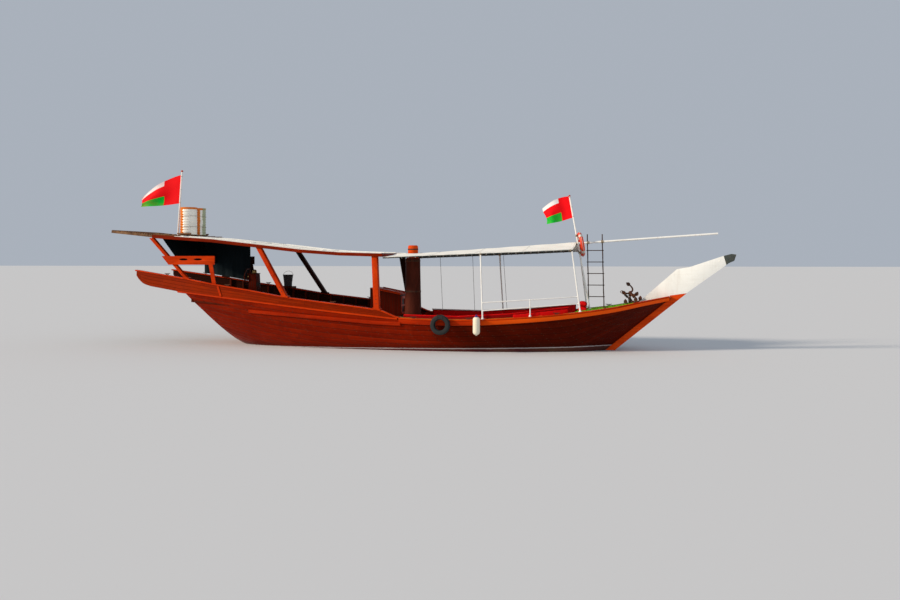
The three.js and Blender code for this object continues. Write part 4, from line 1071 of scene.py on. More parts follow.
transomRows = [(-1.0, -6.07), (-0.65, -6.4), (-0.33, -6.7), (0.0, -6.98), (0.4, -7.36), (1.15, -8.03),
               (1.76, -8.64), (2.16, -9.04)]
bulwarkRows = [
    (-10.5, 2.430), (-9.96, 2.350), (-9.24, 2.250), (-8.56, 2.155), (-7.42, 1.965), (-6.18, 1.795),
    (-4.93, 1.590), (-3.7, 1.455), (-2.56, 1.330), (-1.72, 1.225), (-1.18, 1.005),
]
wingLowRows = [(-10.54, 2.330), (-10.41, 2.150), (-10.24, 2.010), (-9.96, 1.925), (-9.43, 1.845),
               (-8.91, 1.765)]
strakeRows = [(-6.24, 1.215), (-4.04, 1.075), (-1.88, 0.930), (-1.1, 0.905)]
deckRows = [(-8.45, 1.415), (-1.64, 0.940)]
roofRows = [(-9.62, 3.520), (-7.54, 3.375), (-5.94, 3.200), (-4.45, 3.030), (-3.17, 2.940), (-1.8, 2.900)]


def hullLine(column, x):
    x = min(max(x, hullRows[0][0]), hullRows[-1][0])
    last = len(hullRows) - 1
    i = max(next(k for k, row in enumerate(hullRows) if row[0] >= x) - 1, 0)
    a, b = hullRows[i], hullRows[i + 1]
    span = b[0] - a[0]
    t = (x - a[0]) / span
    if column == 3 and a[0] >= 4.0:
        return a[3] + (b[3] - a[3]) * t

    def slope(k):
        before, after = hullRows[max(k - 1, 0)], hullRows[min(k + 1, last)]
        return (after[column] - before[column]) / (after[0] - before[0])
    start = (1 + 2 * t) * (1 - t) ** 2 * a[column] + t * (1 - t) ** 2 * span * slope(i)
    end = t * t * (3 - 2 * t) * b[column] + t * t * (t - 1) * span * slope(i + 1)
    return start + end


def sheerAt(x):
    return hullLine(2, x)


def rabbetAt(x):
    return hullLine(3, x)


def beamAt(x):
    return hullRows[0][1] + (x - hullRows[0][0]) * 0.11 if x < hullRows[0][0] else hullLine(1, x)


def halfBreadth(x, z):
    low = rabbetAt(x)
    share = min(max((z - low) / (sheerAt(x) - low), 0), 1)
    flare = hullLine(5, x) * math.pi / 2
    form = (math.sin(share * flare) / math.sin(flare)) ** hullLine(4, x)
    return keelHalf + (hullLine(1, x) - keelHalf) * form


def easedLine(rows, x, reach=0.16):
    return sum(lineAt(rows, x + reach * step) for step in (-1, -0.5, 0, 0.5, 1)) / 5


def railSeat(x):
    return max(easedLine(bulwarkRows, x, 0.06 if x > -1.9 else 0.16), sheerAt(x) + 0.02)


def railTop(x):
    return railSeat(x) + 0.041


def deckAt(x):
    return lineAt(deckRows, x)


def roofLow(x):
    return lineAt(roofRows, x)


def seatShares(count):
    heights = spread(0, 1, 401)
    x = -1.0
    spots = [(halfBreadth(x, rabbetAt(x) + share * (sheerAt(x) - rabbetAt(x))), share * 1.775)
             for share in heights]
    run = [0.0]
    for a, b in zip(spots, spots[1:]):
        run.append(run[-1] + math.hypot(b[0] - a[0], b[1] - a[1]))
    marks, k = [], 0
    for target in spread(0, run[-1], count + 1):
        while k < len(run) - 1 and run[k] < target - 1e-9:
            k += 1
        marks.append(heights[k])
    return marks


planking = {
    "strakes": 17,
    "stations": 130,
    "groove": 0.005,
    "grooveShare": 0.055,
}


def aftEnd(share, forward=0.0993):
    low, high = -8.9, -5.7
    for _ in range(30):
        x = (low + high) / 2
        z = rabbetAt(x) + (sheerAt(x) - rabbetAt(x)) * share
        if lineAt(transomRows, z) + forward > x:
            low = x
        else:
            high = x
    return (low + high) / 2


def hullPlanks(values):
    marks = seatShares(values["strakes"])
    rows = []
    for k, (a, b) in enumerate(zip(marks, marks[1:])):
        edge = values["grooveShare"]
        rows.extend((a + (b - a) * part, dip, k + part) for part, dip in
                    ((0.0, values["groove"] if k else 0.0), (edge, 0.0), (0.36, 0.0), (0.68, 0.0),
                     (1 - edge, 0.0)))
    rows.append((1.0, 0.0, values["strakes"]))
    shapes = []
    for side in (-1, 1):
        outer, inner, runs = [], [], []
        for i in range(values["stations"]):
            t = i / (values["stations"] - 1)
            out, inn, line = [], [], []
            for share, dip, number in rows:
                start = aftEnd(share)
                x = start + (6.9 - start) * t
                z = rabbetAt(x) + (sheerAt(x) - rabbetAt(x)) * share
                y = halfBreadth(x, z)
                out.append((x, side * (y - dip), z))
                inn.append((x, side * max(y - plankThick, 0.02), z if share > 0 else z + plankThick))
                line.append((x, number))
            outer.append(out)
            inner.append(inn)
            runs.append(line)
        shapes.append(thickSheet(outer, inner, runs))
    return shapes


boss = turnedShape([(0, -0.40), (0.064, -0.40), (0.070, -0.394), (0.070, -0.19), (0.05, -0.18),
                    (0, -0.18)], (-6.29, 0, 0), sides=24)
boss = ([(x, y, max(z, -0.319)) for x, y, z in boss[0]], *boss[1:])
hullPiece = makePiece("hull_planking", hullPlanks(planking), "hull", replaces=["hull"],
                      sharp=50)
print("hull planked:", len(hullPiece.data.polygons))


# The engine's bed follows the planks inside, down to the keel
def bedShape():
    rings = []
    for x in (-4.85, -4.45, -4.05, -3.65, -3.25):
        low = rabbetAt(x) + 0.05
        rings.append([(x, -0.33, -0.301), (x, -0.33, low), (x, 0.33, low), (x, 0.33, -0.301)])
    return loft(rings)


makePiece("engine_bed", [bedShape(), boss], "bottom")


# Nails along the strakes above the water, one row near each seam and at each frame
def nailSpots(values):
    marks = seatShares(values["strakes"])
    spots = []
    for side in (-1, 1):
        for a, b in zip(marks[6:], marks[7:]):
            for share in (a + (b - a) * 0.18, a + (b - a) * 0.82):
                x = aftEnd(share) + 0.12
                while x < 6.75:
                    z = rabbetAt(x) + (sheerAt(x) - rabbetAt(x)) * share
                    y = halfBreadth(x, z)
                    rise = halfBreadth(x, z + 0.02) - y
                    facing = Vector((0, side, -rise / 0.02)).normalized()
                    if z > -0.1:
                        spots.append(((x, side * y, z), tuple(facing)))
                    x += 0.36
    return spots


heads("hull_nails", nailSpots(planking), 0.011, 0.35, "darkIron")


# A strip along the boat with a rounded section of y and z
def strip(places, section, side, radius=0.008, steps=2):
    rings = []
    for x in places:
        flat = [(y, z, 0) for y, z in section(x)]
        if radius:
            flat = rounded(flat, radius, steps)
        rings.append([(x, side * y, z) for y, z, _ in flat])
    return loft(rings)


gunwalePlaces = spread(-1.15, 6.89, 90)
railPlaces = spread(-10.54, -1.16, 110)


def gunwaleTop(x):
    return sheerAt(x) + 0.045


def capSection(x):
    beam = beamAt(x)
    return [(max(beam - 0.13, 0.068), sheerAt(x)), (beam + 0.05, sheerAt(x)), (beam + 0.05, gunwaleTop(x)),
            (max(beam - 0.13, 0.068), gunwaleTop(x))]


# A painted line along the inner edge of the cap in the waist
def lineStrip(x):
    y = beamAt(x) - 0.118
    top = gunwaleTop(x)
    return [(y - 0.014, top - 0.001), (y + 0.022, top - 0.001), (y + 0.022, top + 0.003),
            (y - 0.014, top + 0.003)]


def bandLow(x):
    return sheerAt(x) - 0.145 * (1 if x < 1.5 else 1 - 0.25 * (x - 1.5) / 5.4)


def bandSection(x):
    low = bandLow(x)
    return [(halfBreadth(x, low) - 0.002, low), (halfBreadth(x, low) + 0.040, low + 0.012),
            (beamAt(x) + 0.042, sheerAt(x) - 0.004),
            (beamAt(x) - 0.002, sheerAt(x) - 0.004)]


def strakeSection(x):
    top = easedLine(strakeRows, x, 0.2)
    low = top - 0.13
    return [(halfBreadth(x, low) - 0.002, low), (halfBreadth(x, low) + 0.058, low + 0.016),
            (halfBreadth(x, top) + 0.058, top - 0.016), (halfBreadth(x, top) - 0.002, top)]


def sheerBead(x):
    z = sheerAt(x)
    beam = beamAt(x)
    return [(beam - 0.004, z - 0.028), (beam + 0.024, z - 0.020), (beam + 0.030, z),
            (beam + 0.024, z + 0.020),
            (beam - 0.004, z + 0.028)]


for side, label in ((-1, "starboard"), (1, "port")):
    makePiece("gunwale_cap_" + label, [
        (*strip(gunwalePlaces, capSection, side, 0.014, 3), 0),
        (*strip(gunwalePlaces, bandSection, side, 0.010), 1),
        (*strip(spread(-1.12, 4.1, 50), lineStrip, side, 0), 2),
        (*strip(spread(-6.24, -1.1, 60), strakeSection, side, 0.012), 1),
    ], ["orangeX", "strake", "lime"], replaces=["gunwale_" + label], sharp=40)


# Raised bulwark: four planks with grooves, a bead over the joint, a cap rail and timberheads inside
def bulwarkWall(side):
    places = spread(-10.5, -1.18, 120)
    rows = [(0.0, 0.0, 0.0)]
    for k in range(4):
        rows.extend((((k + part) / 4), 0.0, k + part) for part in (0.04, 0.5, 0.96))
        if k < 3:
            rows.append(((k + 1) / 4, 0.005, k + 1.0))
    rows.append((1.0, 0.0, 4.0))
    outer, inner, runs = [], [], []
    for x in places:
        low = easedLine(wingLowRows, x, 0.05) if x < -8.905 else sheerAt(x)
        top = max(railSeat(x), low + 0.012)
        out, inn, line = [], [], []
        for share, dip, number in rows:
            z = low + (top - low) * share
            out.append((x, side * (beamAt(x) - dip), z))
            inn.append((x, side * (beamAt(x) - 0.06 + dip), z))
            line.append((x, number + 40))
        outer.append(out)
        inner.append(inn)
        runs.append(line)
    return thickSheet(outer, inner, runs)


def railCap(x):
    beam = beamAt(x) + 0.032
    seat = railSeat(x) - 0.002
    return [(beam, seat), (beam, railTop(x)), (beam - 0.14, railTop(x)), (beam - 0.14, seat)]


def outerBatten(side):
    head = (-7.345, side * (beamAt(-7.345) + 0.012), railSeat(-7.345) - 0.006)
    foot = (-7.225, side * (beamAt(-7.225) + 0.012), sheerAt(-7.225) + 0.03)
    return beamShape(foot, head, 0.028, 0.065, (1, 0, 0))


for side, label in ((-1, "starboard"), (1, "port")):
    points, faces, runs = bulwarkWall(side)
    outside = 119 * 16
    # the bulwark's inner faces get a near-black painted shade
    makePiece("bulwark_" + label, [
        (points, faces[:outside] + faces[2 * outside:], runs, 0),
        (points, faces[outside:2 * outside], runs, 3),
        (*strip(railPlaces, railCap, side, 0.014, 3), 1),
        (*strip(spread(-8.88, -1.2, 90), sheerBead, side, 0), 2),
        (*outerBatten(side), 2),
    ], ["bulwark", "orangeX", "orangeX", "shadedInnerWall"], replaces=["aft_bulwark_" + label],
    sharp=40)


def timberheads():
    shapes = []
    for side in (-1, 1):
        for x in spread(-8.35, -1.5, 16):
            inner = side * (beamAt(x) - 0.125)
            outer = side * (beamAt(x) - 0.055)
            low, high = sorted((inner, outer))
            shapes.append(boxShape((x - 0.035, low, deckAt(x) + 0.002),
                                   (x + 0.035, high, railSeat(x) - 0.003)))
    return shapes


makePiece("bulwark_timberheads", timberheads(), "brownZ", bevel=0.006)


def deckClamps():
    return [strip(spread(-8.3, -1.3, 40), lambda x: [
        (beamAt(x) - 0.10, deckAt(x) + 0.001), (beamAt(x) - 0.10, deckAt(x) + 0.06),
        (beamAt(x) - 0.056, deckAt(x) + 0.06), (beamAt(x) - 0.056, deckAt(x) + 0.001)], side, 0.006)
        for side in (-1, 1)]


makePiece("deck_edge_boards", deckClamps(), "brownX")

easedCopy("transom", "transom", 0.008, name="transom_boards", flat=2.0)
easedCopy("keel", "bottom", 0.012, name="keel_wood", flat=1.5)
easedCopy("stem", "stem", 0.014, name="stem_wood_post", flat=1.5)
easedCopy("rudder", "bottom", 0.008, body="rudder", name="rudder_blade")
easedCopy("aft_deck", "deck", 0.004, name="aft_deck_planks", flat=1.5)
easedCopy("waist_well", "deck", 0.004, name="waist_planks", flat=1.5)
easedCopy("foredeck", "deck", 0.004, name="foredeck_planks", flat=1.5)
easedCopy("engine_block", "engine", 0.02, name="engine_casing")
print("hull dressed")


# Posts of the stern shelter: squared timbers with eased corners, a foot block and a pair of bolts
postRows = {
    "stern_post": (-8.55, 1.39, -9.80, 1.42, 0.150),
    "mid_post": (-4.93, 1.765, -5.93, 1.545, 0.172),
    "fore_post": (-1.86, 1.90, -2.04, 1.55, 0.180),
}
postBolts = []
for postName, (footX, footY, headX, headY, width) in postRows.items():
    for side, label in ((-1, "starboard"), (1, "port")):
        half = width / 2
        corners = rounded([(-half, -half, 0), (half, -half, 0), (half, half, 0), (-half, half, 0)], 0.016, 3)
        rings = []
        for share in (0, 0.02, 0.25, 0.5, 0.75, 0.98, 1):
            ring = []
            for dx, dy, _ in corners:
                low = railTop(footX + dx) - 0.004
                high = roofLow(headX + dx) - 0.001
                ring.append((footX + (headX - footX) * share + dx,
                             side * (footY + (headY - footY) * share) + dy,
                             low + (high - low) * share))
            rings.append(ring)
        block = boxShape((footX - half - 0.03, side * footY - half - 0.025, railTop(footX) - 0.012),
                         (footX + half + 0.03, side * footY + half + 0.025, railTop(footX) + 0.035))
        block = ([(x, y, z + railTop(x) - railTop(footX)) for x, y, z in block[0]], *block[1:])
        # the port posts take near-black as painted shade
        makePiece(postName + "_" + label + "_timber", [loft(rings), block], "orangeZ" if side < 0 else "farZ",
                  replaces=[postName + "_" + label], sharp=45)
        for rise in (0.16, 0.30):
            z = railTop(footX) + rise
            share = rise / (roofLow(headX) - railTop(footX))
            spot = (footX + (headX - footX) * share, side * (footY + (headY - footY) * share + half), z)
            postBolts.append((spot, (0, side, 0)))

heads("post_bolts", postBolts, 0.016, 0.5, "iron")


# Boards with holes: outlines in x and z given a width along y, with eased edges
def slottedBoard(name, loops, y0, y1, ease):
    curve = bpy.data.curves.new(name, "CURVE")
    curve.dimensions = "2D"
    curve.fill_mode = "BOTH"
    curve.extrude = abs(y1 - y0) / 2 - ease
    curve.bevel_depth = ease
    curve.bevel_resolution = 1
    curve.offset = -ease
    for loop in loops:
        spline = curve.splines.new("POLY")
        spline.points.add(len(loop) - 1)
        for point, (x, z) in zip(spline.points, loop):
            point.co = (x, z, 0, 1)
        spline.use_cyclic_u = True
    holder = bpy.data.objects.new(name + "_outline", curve)
    scene.collection.objects.link(holder)
    graph = bpy.context.evaluated_depsgraph_get()
    mesh = bpy.data.meshes.new_from_object(holder.evaluated_get(graph))
    bpy.data.objects.remove(holder)
    middle = (y0 + y1) / 2
    shape = ([(v.co.x, middle - v.co.z, v.co.y) for v in mesh.vertices],
             [tuple(face.vertices) for face in mesh.polygons], None)
    bpy.data.meshes.remove(mesh)
    return shape


def ellipse(x, z, rx, rz, count=40):
    return [(x + rx * math.cos(2 * math.pi * k / count), z + rz * math.sin(2 * math.pi * k / count))
            for k in range(count)]


for side, label in ((-1, "starboard"), (1, "port")):
    y0, y1 = (1.485, 1.523) if side > 0 else (-1.523, -1.485)
    outline = [(-9.15, 2.64), (-7.5, 2.64), (-7.5, 2.925), (-9.4, 2.925)]
    board = slottedBoard("side_board", [outline, ellipse(-8.61, 2.815, 0.15, 0.032),
                                        ellipse(-8.09, 2.815, 0.15, 0.032)],
                         y0, y1, 0.005)
    low, high = sorted((y0 + 0.004 * side, y1 + 0.004 * side))
    feet, tops = (-7.585, -7.449), (-7.710, -7.570)
    short = loft([
        [(feet[0], low, railTop(feet[0]) - 0.01), (feet[1], low, railTop(feet[1]) - 0.01),
         (feet[1], high, railTop(feet[1]) - 0.01), (feet[0], high, railTop(feet[0]) - 0.01)],
        [(tops[0], low, 2.66), (tops[1], low, 2.66), (tops[1], high, 2.66), (tops[0], high, 2.66)]])
    # the port side board is near-black as painted shade
    makePiece("side_board_" + label + "_wood", [board, short], ["orangeX" if side < 0 else "shadedInnerWall"],
              replaces=["side_board_" + label],
              sharp=30)


# Roof: a painted cambered sheet over boards, battens over its joints
roofHalf = 1.66
roofBase = 0.086
roofBoard = 0.026


def crownAt(y):
    return 0.018 * (1 - (y / roofHalf) ** 2)


def roofSkin():
    over, under, runs = [], [], []
    for x in spread(-9.62, -1.8, 70):
        top, low, line = [], [], []
        for share in spread(-1, 1, 27):
            y = share * roofHalf
            base = roofLow(x) + roofBase + crownAt(y)
            top.append((x, y * 1.012, base + roofBoard))
            low.append((x, y * 1.012, base + 0.001))
            line.append((x, y))
        over.append(top)
        under.append(low)
        runs.append(line)
    points, faces, flat = thickSheet(over, under, runs)
    count = 69 * 26
    return [(points, faces[:count] + faces[2 * count:], flat, 0), (points, faces[count:2 * count], flat, 1)]


def roofBattens():
    shapes = []
    for y in (-1.22, 0.0, 1.22):
        rings = []
        for x in spread(-9.6, -1.82, 60):
            z = roofLow(x) + roofBase + crownAt(y) + roofBoard + 0.001
            rings.append([(x, y - 0.03, z), (x, y + 0.03, z), (x, y + 0.024, z + 0.014),
                          (x, y - 0.024, z + 0.014)])
        shapes.append(loft(rings))
    for x in (-8.6, -6.2, -3.8):
        rings = []
        for y in spread(-1.6, 1.6, 24):
            z = roofLow(x) + roofBase + crownAt(y) + roofBoard + 0.001
            rings.append([(x - 0.03, y, z), (x - 0.024, y, z + 0.012), (x + 0.024, y, z + 0.012),
                          (x + 0.03, y, z)])
        shapes.append(loft(rings))
    return shapes


makePiece("roof_sheet", roofSkin(), ["roof", "ceiling"], replaces=["aft_roof"], sharp=30)
makePiece("roof_battens", roofBattens(), "white")
edgeBoards = []
for side in (-1, 1):
    y0, y1 = sorted((side * 1.40, side * 1.675))
    rings = []
    for x in spread(-9.61, -8.78, 8):
        z = roofLow(x) + roofBase + crownAt(1.40) + roofBoard + 0.001
        rings.append([(x, y0, z), (x, y1, z), (x, y1, z + 0.022), (x, y0, z + 0.022)])
    edgeBoards.append(loft(rings))
    for x, lean in ((-9.50, 0.05), (-9.18, -0.03), (-8.95, 0.04)):
        z = roofLow(x) + roofBase + crownAt(1.40) + roofBoard + 0.0235
        edgeBoards.append(beamShape((x - 0.12, side * 1.46, z + 0.012),
                                    (x + 0.12, side * (1.60 + lean), z + 0.012), 0.07, 0.022))
makePiece("roof_edge_boards", edgeBoards, "slat", bevel=0.003)
easedCopy("roof_fascia", "fascia", 0.005, name="roof_fascia_board", flat=1.2)
easedCopy("roof_frame", "brownX", 0.006, name="roof_frame_timber", flat=1.2)


# Overhang: weathered slats across tapering bearers
overhang = {
    "slats": 19,
    "tip": (-11.28, 3.700, 3.800, 1.48),
    "root": (-9.6488, 3.532, 3.637, 1.5),
}


def overhangShapes(values):
    tipX, tipLow, _, tipHalf = values["tip"]
    rootX, rootLow, _, rootHalf = values["root"]
    shapes = []

    def at(x, column):
        share = (x - rootX) / (tipX - rootX)
        return values["root"][column] + (values["tip"][column] - values["root"][column]) * share
    for share in (-1, -0.5, 0, 0.5, 1):
        y0, y1 = share * (rootHalf - 0.03), share * (tipHalf - 0.03)
        start, end = (rootX, y0, rootLow + 0.042), (tipX + 0.005, y1, tipLow + 0.042)
        shapes.append((*beamShape(start, end, 0.055, 0.08), 0))
    gap = (rootX - tipX) / values["slats"]
    for k in range(values["slats"]):
        x = rootX - gap * (k + 0.5)
        half = at(x, 3)
        top = at(x, 2)
        jitter = random.uniform(-0.012, 0.012)
        shapes.append((*boxShape((x - gap * 0.36, -half + jitter, top - 0.024),
                                 (x + gap * 0.36, half + jitter, top)), 0))
    return shapes


random.seed(11)
makePiece("overhang_slats", overhangShapes(overhang), "slat", replaces=["roof_overhang"],
          bevel=0.004)

# Mast stump, ridge pole and its lashings
mastX = -1.235
mastRadius = 0.262
mastRows = [(0.0, 0.2505), (0.285, 0.2505), (0.284, 0.30), (0.262, 1.4), (0.242, 2.4), (0.234, 2.83),
            (0.228, 2.85),
            (0.20, 2.862), (0.172, 2.875), (0.165, 2.91), (0.165, 3.20), (0.160, 3.235), (0.145, 3.262),
            (0.13, 3.27), (0.0, 3.27)]
makePiece("mast_trunk", [turnedShape(mastRows, (mastX, 0, 0), sides=40)], "mast", replaces=["mast"],
          sharp=50)


def hoop(x, z, radius, height, thick=0.006):
    rows = [(radius, z), (radius + thick, z), (radius + thick, z + height), (radius, z + height)]
    return turnedShape(rows, (x, 0, 0), sides=40)


makePiece("mast_hoops", [hoop(mastX, 0.55, 0.281, 0.05), hoop(mastX, 1.75, 0.2555, 0.05),
                         hoop(mastX, 2.74, 0.236, 0.05),
                         hoop(mastX, 3.12, 0.164, 0.04)], "iron", bevel=0.002)


def ridgeAt(x):
    return 2.968 + (x + 1.12) * (3.590 - 2.968) / 9.44


ridgeFoot = (-1.067, 0, ridgeAt(-1.067))
ridgeTip = (8.32, 0, 3.59)
makePiece("ridge_spar", [tube([(*ridgeFoot,), (-1.06, 0, ridgeAt(-1.06)), (0.5, 0, ridgeAt(0.5)),
                               (3.5, 0, ridgeAt(3.5)),
                               (6.0, 0, ridgeAt(6.0)), (8.31, 0, ridgeAt(8.31)), ridgeTip],
                              lambda share: 0.031 if share in (0, 1) else 0.034 - 0.004 * share, 20)],
          "pipe", replaces=["ridge_pole"])

# Pipes of the awning frame, uprights with flanged feet, handrail and staffs
awningEdges = [(-1.77, 1.590, 2.888), (0.99, 1.700, 2.990), (2.60, 1.550, 3.050), (4.075, 1.290, 3.115)]
pipeR = 0.024
frontX = 4.045


def edgeY(x):
    return lineAt([(row[0], row[1]) for row in awningEdges], x)


def edgeZ(x):
    return lineAt([(row[0], row[2]) for row in awningEdges], x)


def pipeZ(x):
    return edgeZ(x) - pipeR - 0.002


def ball(place, radius, sides=14):
    rows = [(radius * math.sin(turn), -radius * math.cos(turn)) for turn in spread(0, math.pi, 9)]
    rows[0], rows[-1] = (0.0, -radius), (0.0, radius)
    return turnedShape(rows, place, sides=sides)


def frameShapes():
    stations = [-1.771, 0.99, 2.60, frontX]
    shapes = []
    for side in (-1, 1):
        path = [(x, edgeY(x) * side, pipeZ(x)) for x in stations]
        for a, b in zip(path, path[1:]):
            shapes.append(rod(a, b, pipeR, 14))
        shapes.extend(ball(point, pipeR + 0.004) for point in path[1:])
    shapes.append(rod((frontX, -edgeY(frontX), pipeZ(frontX)), (frontX, edgeY(frontX), pipeZ(frontX)),
                      pipeR, 14))
    return shapes


# the edge pipes are painted dark as the awning's shaded underside
makePiece("awning_pipes", frameShapes(), "framePipe", replaces=["awning_frame"])


def flange(x, y, z, radius=0.06):
    rows = [(0.0, -0.002), (radius, -0.002), (radius, 0.007), (0.036, 0.011), (0.031, 0.05), (0.0, 0.05)]
    return turnedShape(rows, (x, y, z), sides=20)


flangeBolts = []
for pipeName, (footX, headX) in {"mid_pipe": (1.43, 1.33), "fore_pipe": (4.29, 4.045)}.items():
    for side, label in ((-1, "starboard"), (1, "port")):
        footY = (beamAt(footX) - 0.04) * side
        headZ = pipeZ(headX) - pipeR - 0.0035
        foot = Vector((footX, footY, gunwaleTop(footX) - 0.06))
        reach = Vector((headX, edgeY(headX) * side, headZ + 0.02))
        start = foot.lerp(reach, 0.062 / (reach.z - foot.z))
        end = foot.lerp(reach, (headZ - foot.z) / (reach.z - foot.z))
        makePiece(pipeName + "_" + label + "_tube", [rod(start, end, pipeR, 16), flange(*start)], "pipe",
                  replaces=[pipeName + "_" + label])
        for k in range(4):
            turn = math.pi / 4 + k * math.pi / 2
            spot = (start.x + 0.046 * math.cos(turn), start.y + 0.046 * math.sin(turn), start.z + 0.008)
            flangeBolts.append((spot, (0, 0, 1)))
heads("flange_bolts", flangeBolts, 0.008, 0.6, "iron")


def handrailShapes():
    def pipeAt(footX, headX, z):
        share = (z - sheerAt(footX)) / (pipeZ(headX) - sheerAt(footX))
        y = beamAt(footX) - 0.04 + (edgeY(headX) - beamAt(footX) + 0.04) * share
        return footX + (headX - footX) * share, -y
    shapes = []
    for z0, z1 in ((1.51, 1.69), (1.27, 1.48)):
        x0, y0 = pipeAt(1.43, 1.33, z0)
        x1, y1 = pipeAt(4.29, 4.045, z1)
        start, end = Vector((x0 + 0.024, y0, z0)), Vector((x1 - 0.024, y1, z1))
        middle = Vector((2.83, -(beamAt(2.83) - 0.06), (z0 + z1) / 2))
        pull = middle * 2 - (start + end) / 2
        path = [start * (1 - t) ** 2 + pull * (2 * t * (1 - t)) + end * t * t for t in spread(0, 1, 22)]
        shapes.append(tube(path, 0.0155, 12))
        shapes.append(rod(start - Vector((0.03, 0, 0)), start + Vector((0.03, 0, 0)), 0.022, 12))
        shapes.append(rod(end - Vector((0.03, 0, 0)), end + Vector((0.03, 0, 0)), 0.022, 12))
        shapes.append(ball(middle, 0.024))
    postY = -(beamAt(2.83) - 0.06)
    shapes.append(rod((2.83, postY, gunwaleTop(2.83)), (2.83, postY, 1.616), 0.017, 12))
    shapes.append(flange(2.83, postY, gunwaleTop(2.83), 0.045))
    return shapes


makePiece("handrail_tubes", handrailShapes(), "pipe", replaces=["handrail"])

bowStaff = ((4.48, -0.09, 1.25), (3.85, -0.09, 4.80))
sternStaff = ((-9.66, 0.0, 3.67), (-9.50, 0.0, 5.87))


def onLine(line, z):
    share = (z - line[0][2]) / (line[1][2] - line[0][2])
    return tuple(a + (b - a) * share for a, b in zip(*line))


def turfTop(x):
    return sheerAt(x) + 0.0283


makePiece("bow_staff", [rod(onLine(bowStaff, turfTop(4.48) + 0.002), bowStaff[1], 0.026, 16),
                        flange(*onLine(bowStaff, turfTop(4.48) + 0.002), 0.07)], "pipe",
          replaces=["bow_flagstaff"])
makePiece("stern_staff", [rod(onLine(sternStaff, 3.6435), sternStaff[1], 0.030, 16)], "pipe",
          replaces=["stern_flagstaff"])
makePiece("staff_trucks", [ball((bowStaff[1][0], bowStaff[1][1], 4.79), 0.034),
                           ball((sternStaff[1][0], 0, 5.86), 0.038)], "orangeZ")
print("shelter, mast and pipes dressed")


# Sheets of cloth: closed thin shells over a grid of width and length
def clothSheet(name, rows, runs, thick, look, replaces):
    over, under = [], []
    for i, row in enumerate(rows):
        topRow, lowRow = [], []
        for k, point in enumerate(row):
            a = Vector(rows[min(i + 1, len(rows) - 1)][k]) - Vector(rows[max(i - 1, 0)][k])
            b = Vector(row[min(k + 1, len(row) - 1)]) - Vector(row[max(k - 1, 0)])
            facing = a.cross(b).normalized() * thick / 2
            topRow.append(tuple(Vector(point) + facing))
            lowRow.append(tuple(Vector(point) - facing))
        over.append(topRow)
        under.append(lowRow)
    obj = makePiece(name, [thickSheet(over, under, runs)], look, replaces=replaces, sharp=70)
    return obj


def gridArea(rows):
    total = 0.0
    for first, second in zip(rows, rows[1:]):
        for a, b, c, d in zip(first, first[1:], second[1:], second):
            a, b, c, d = Vector(a), Vector(b), Vector(c), Vector(d)
            total += ((b - a).cross(c - a)).length / 2 + ((c - a).cross(d - a)).length / 2
    return total


# Awning: laced over the ridge and the side pipes, sagging between them, split at its aft end round the mast
awning = {
    "aft": -1.765,
    "fore": 4.072,
    "flap": 0.018,
    "sag": 0.022,
    "thick": 0.004,
}


def awningHeight(x, share):
    ridge = max(ridgeAt(x), 2.968) + 0.037
    edge = edgeZ(x) + 0.004
    straight = ridge + (edge - ridge) * abs(share)
    bay = math.sin(math.pi * min(abs(share), 1))
    wave = 0.35 + 0.65 * abs(math.sin((x - 0.1) * math.pi / 1.47))
    return straight - awning["sag"] * bay * wave + 0.004 * math.sin(7 * x + 9 * share)


def awningRows():
    rows, runs = [], []
    for x in spread(awning["aft"], awning["fore"], 74):
        row, line = [], []
        width = edgeY(x) + 0.03
        shares = spread(-1, 1, 49)
        low = edgeZ(x) + 0.004
        for drop in (1.0, 0.66, 0.33, 0.12):
            flutter = 0.006 * math.sin(x * 11) * drop
            row.append((x, -width - 0.006 * (1 - drop) - flutter, low - awning["flap"] * drop))
        for share in shares[1:-1]:
            row.append((x, share * width, awningHeight(x, share)))
        for drop in (0.12, 0.33, 0.66, 1.0):
            flutter = 0.006 * math.sin(x * 11 + 1) * drop
            row.append((x, width + 0.006 * (1 - drop) + flutter, low - awning["flap"] * drop))
        run = 0.0
        for k, point in enumerate(row):
            if k:
                run += (Vector(point) - Vector(row[k - 1])).length
            line.append((run, x))
        rows.append(row)
        runs.append(line)
    return rows, runs


def awningShapes():
    rows, runs = awningRows()
    parts = []
    split = next(i for i, row in enumerate(rows) if row[0][0] > -0.95)
    middle = len(rows[0]) // 2

    def cutRow(row):
        x = row[0][0]
        reach = mastRadius ** 2 - (x - mastX) ** 2
        limit = math.sqrt(reach) if reach > 0 and x > -1.5 else 0.075
        if x < mastX:
            limit = max(limit, 0.075)
            limit = mastRadius if abs(x - mastX) < 0.02 else limit
        return limit if x < -0.97 else 0.0
    full = rows[split:]
    parts.append((full, runs[split:]))
    for sign in (-1, 1):
        half, halfRuns = [], []
        for row, line in zip(rows[:split + 1], runs[:split + 1]):
            limit = cutRow(row)
            chosen = [k for k in range(len(row)) if (k <= middle if sign < 0 else k >= middle)]
            width = abs(row[0][1])
            new = []
            for k in chosen:
                x, y, z = row[k]
                scale = (abs(y) / width)
                y = sign * (limit + (width - limit) * scale)
                new.append((x, y, z))
            half.append(new)
            halfRuns.append([line[k] for k in chosen])
        parts.append((half, halfRuns))
    return parts


def awningCloth():
    shapes, area = [], 0.0
    for rows, runs in awningShapes():
        area += gridArea(rows)
        over, under = [], []
        for row in rows:
            over.append([(x, y, z + awning["thick"] / 2) for x, y, z in row])
            under.append([(x, y * (1 - 0.0012), z - awning["thick"] / 2) for x, y, z in row])
        shapes.append(thickSheet(over, under, runs))
    obj = makePiece("awning_cloth", shapes, "canvas", replaces=["awning"], sharp=60)
    rows, _ = awningRows()


awningCloth()


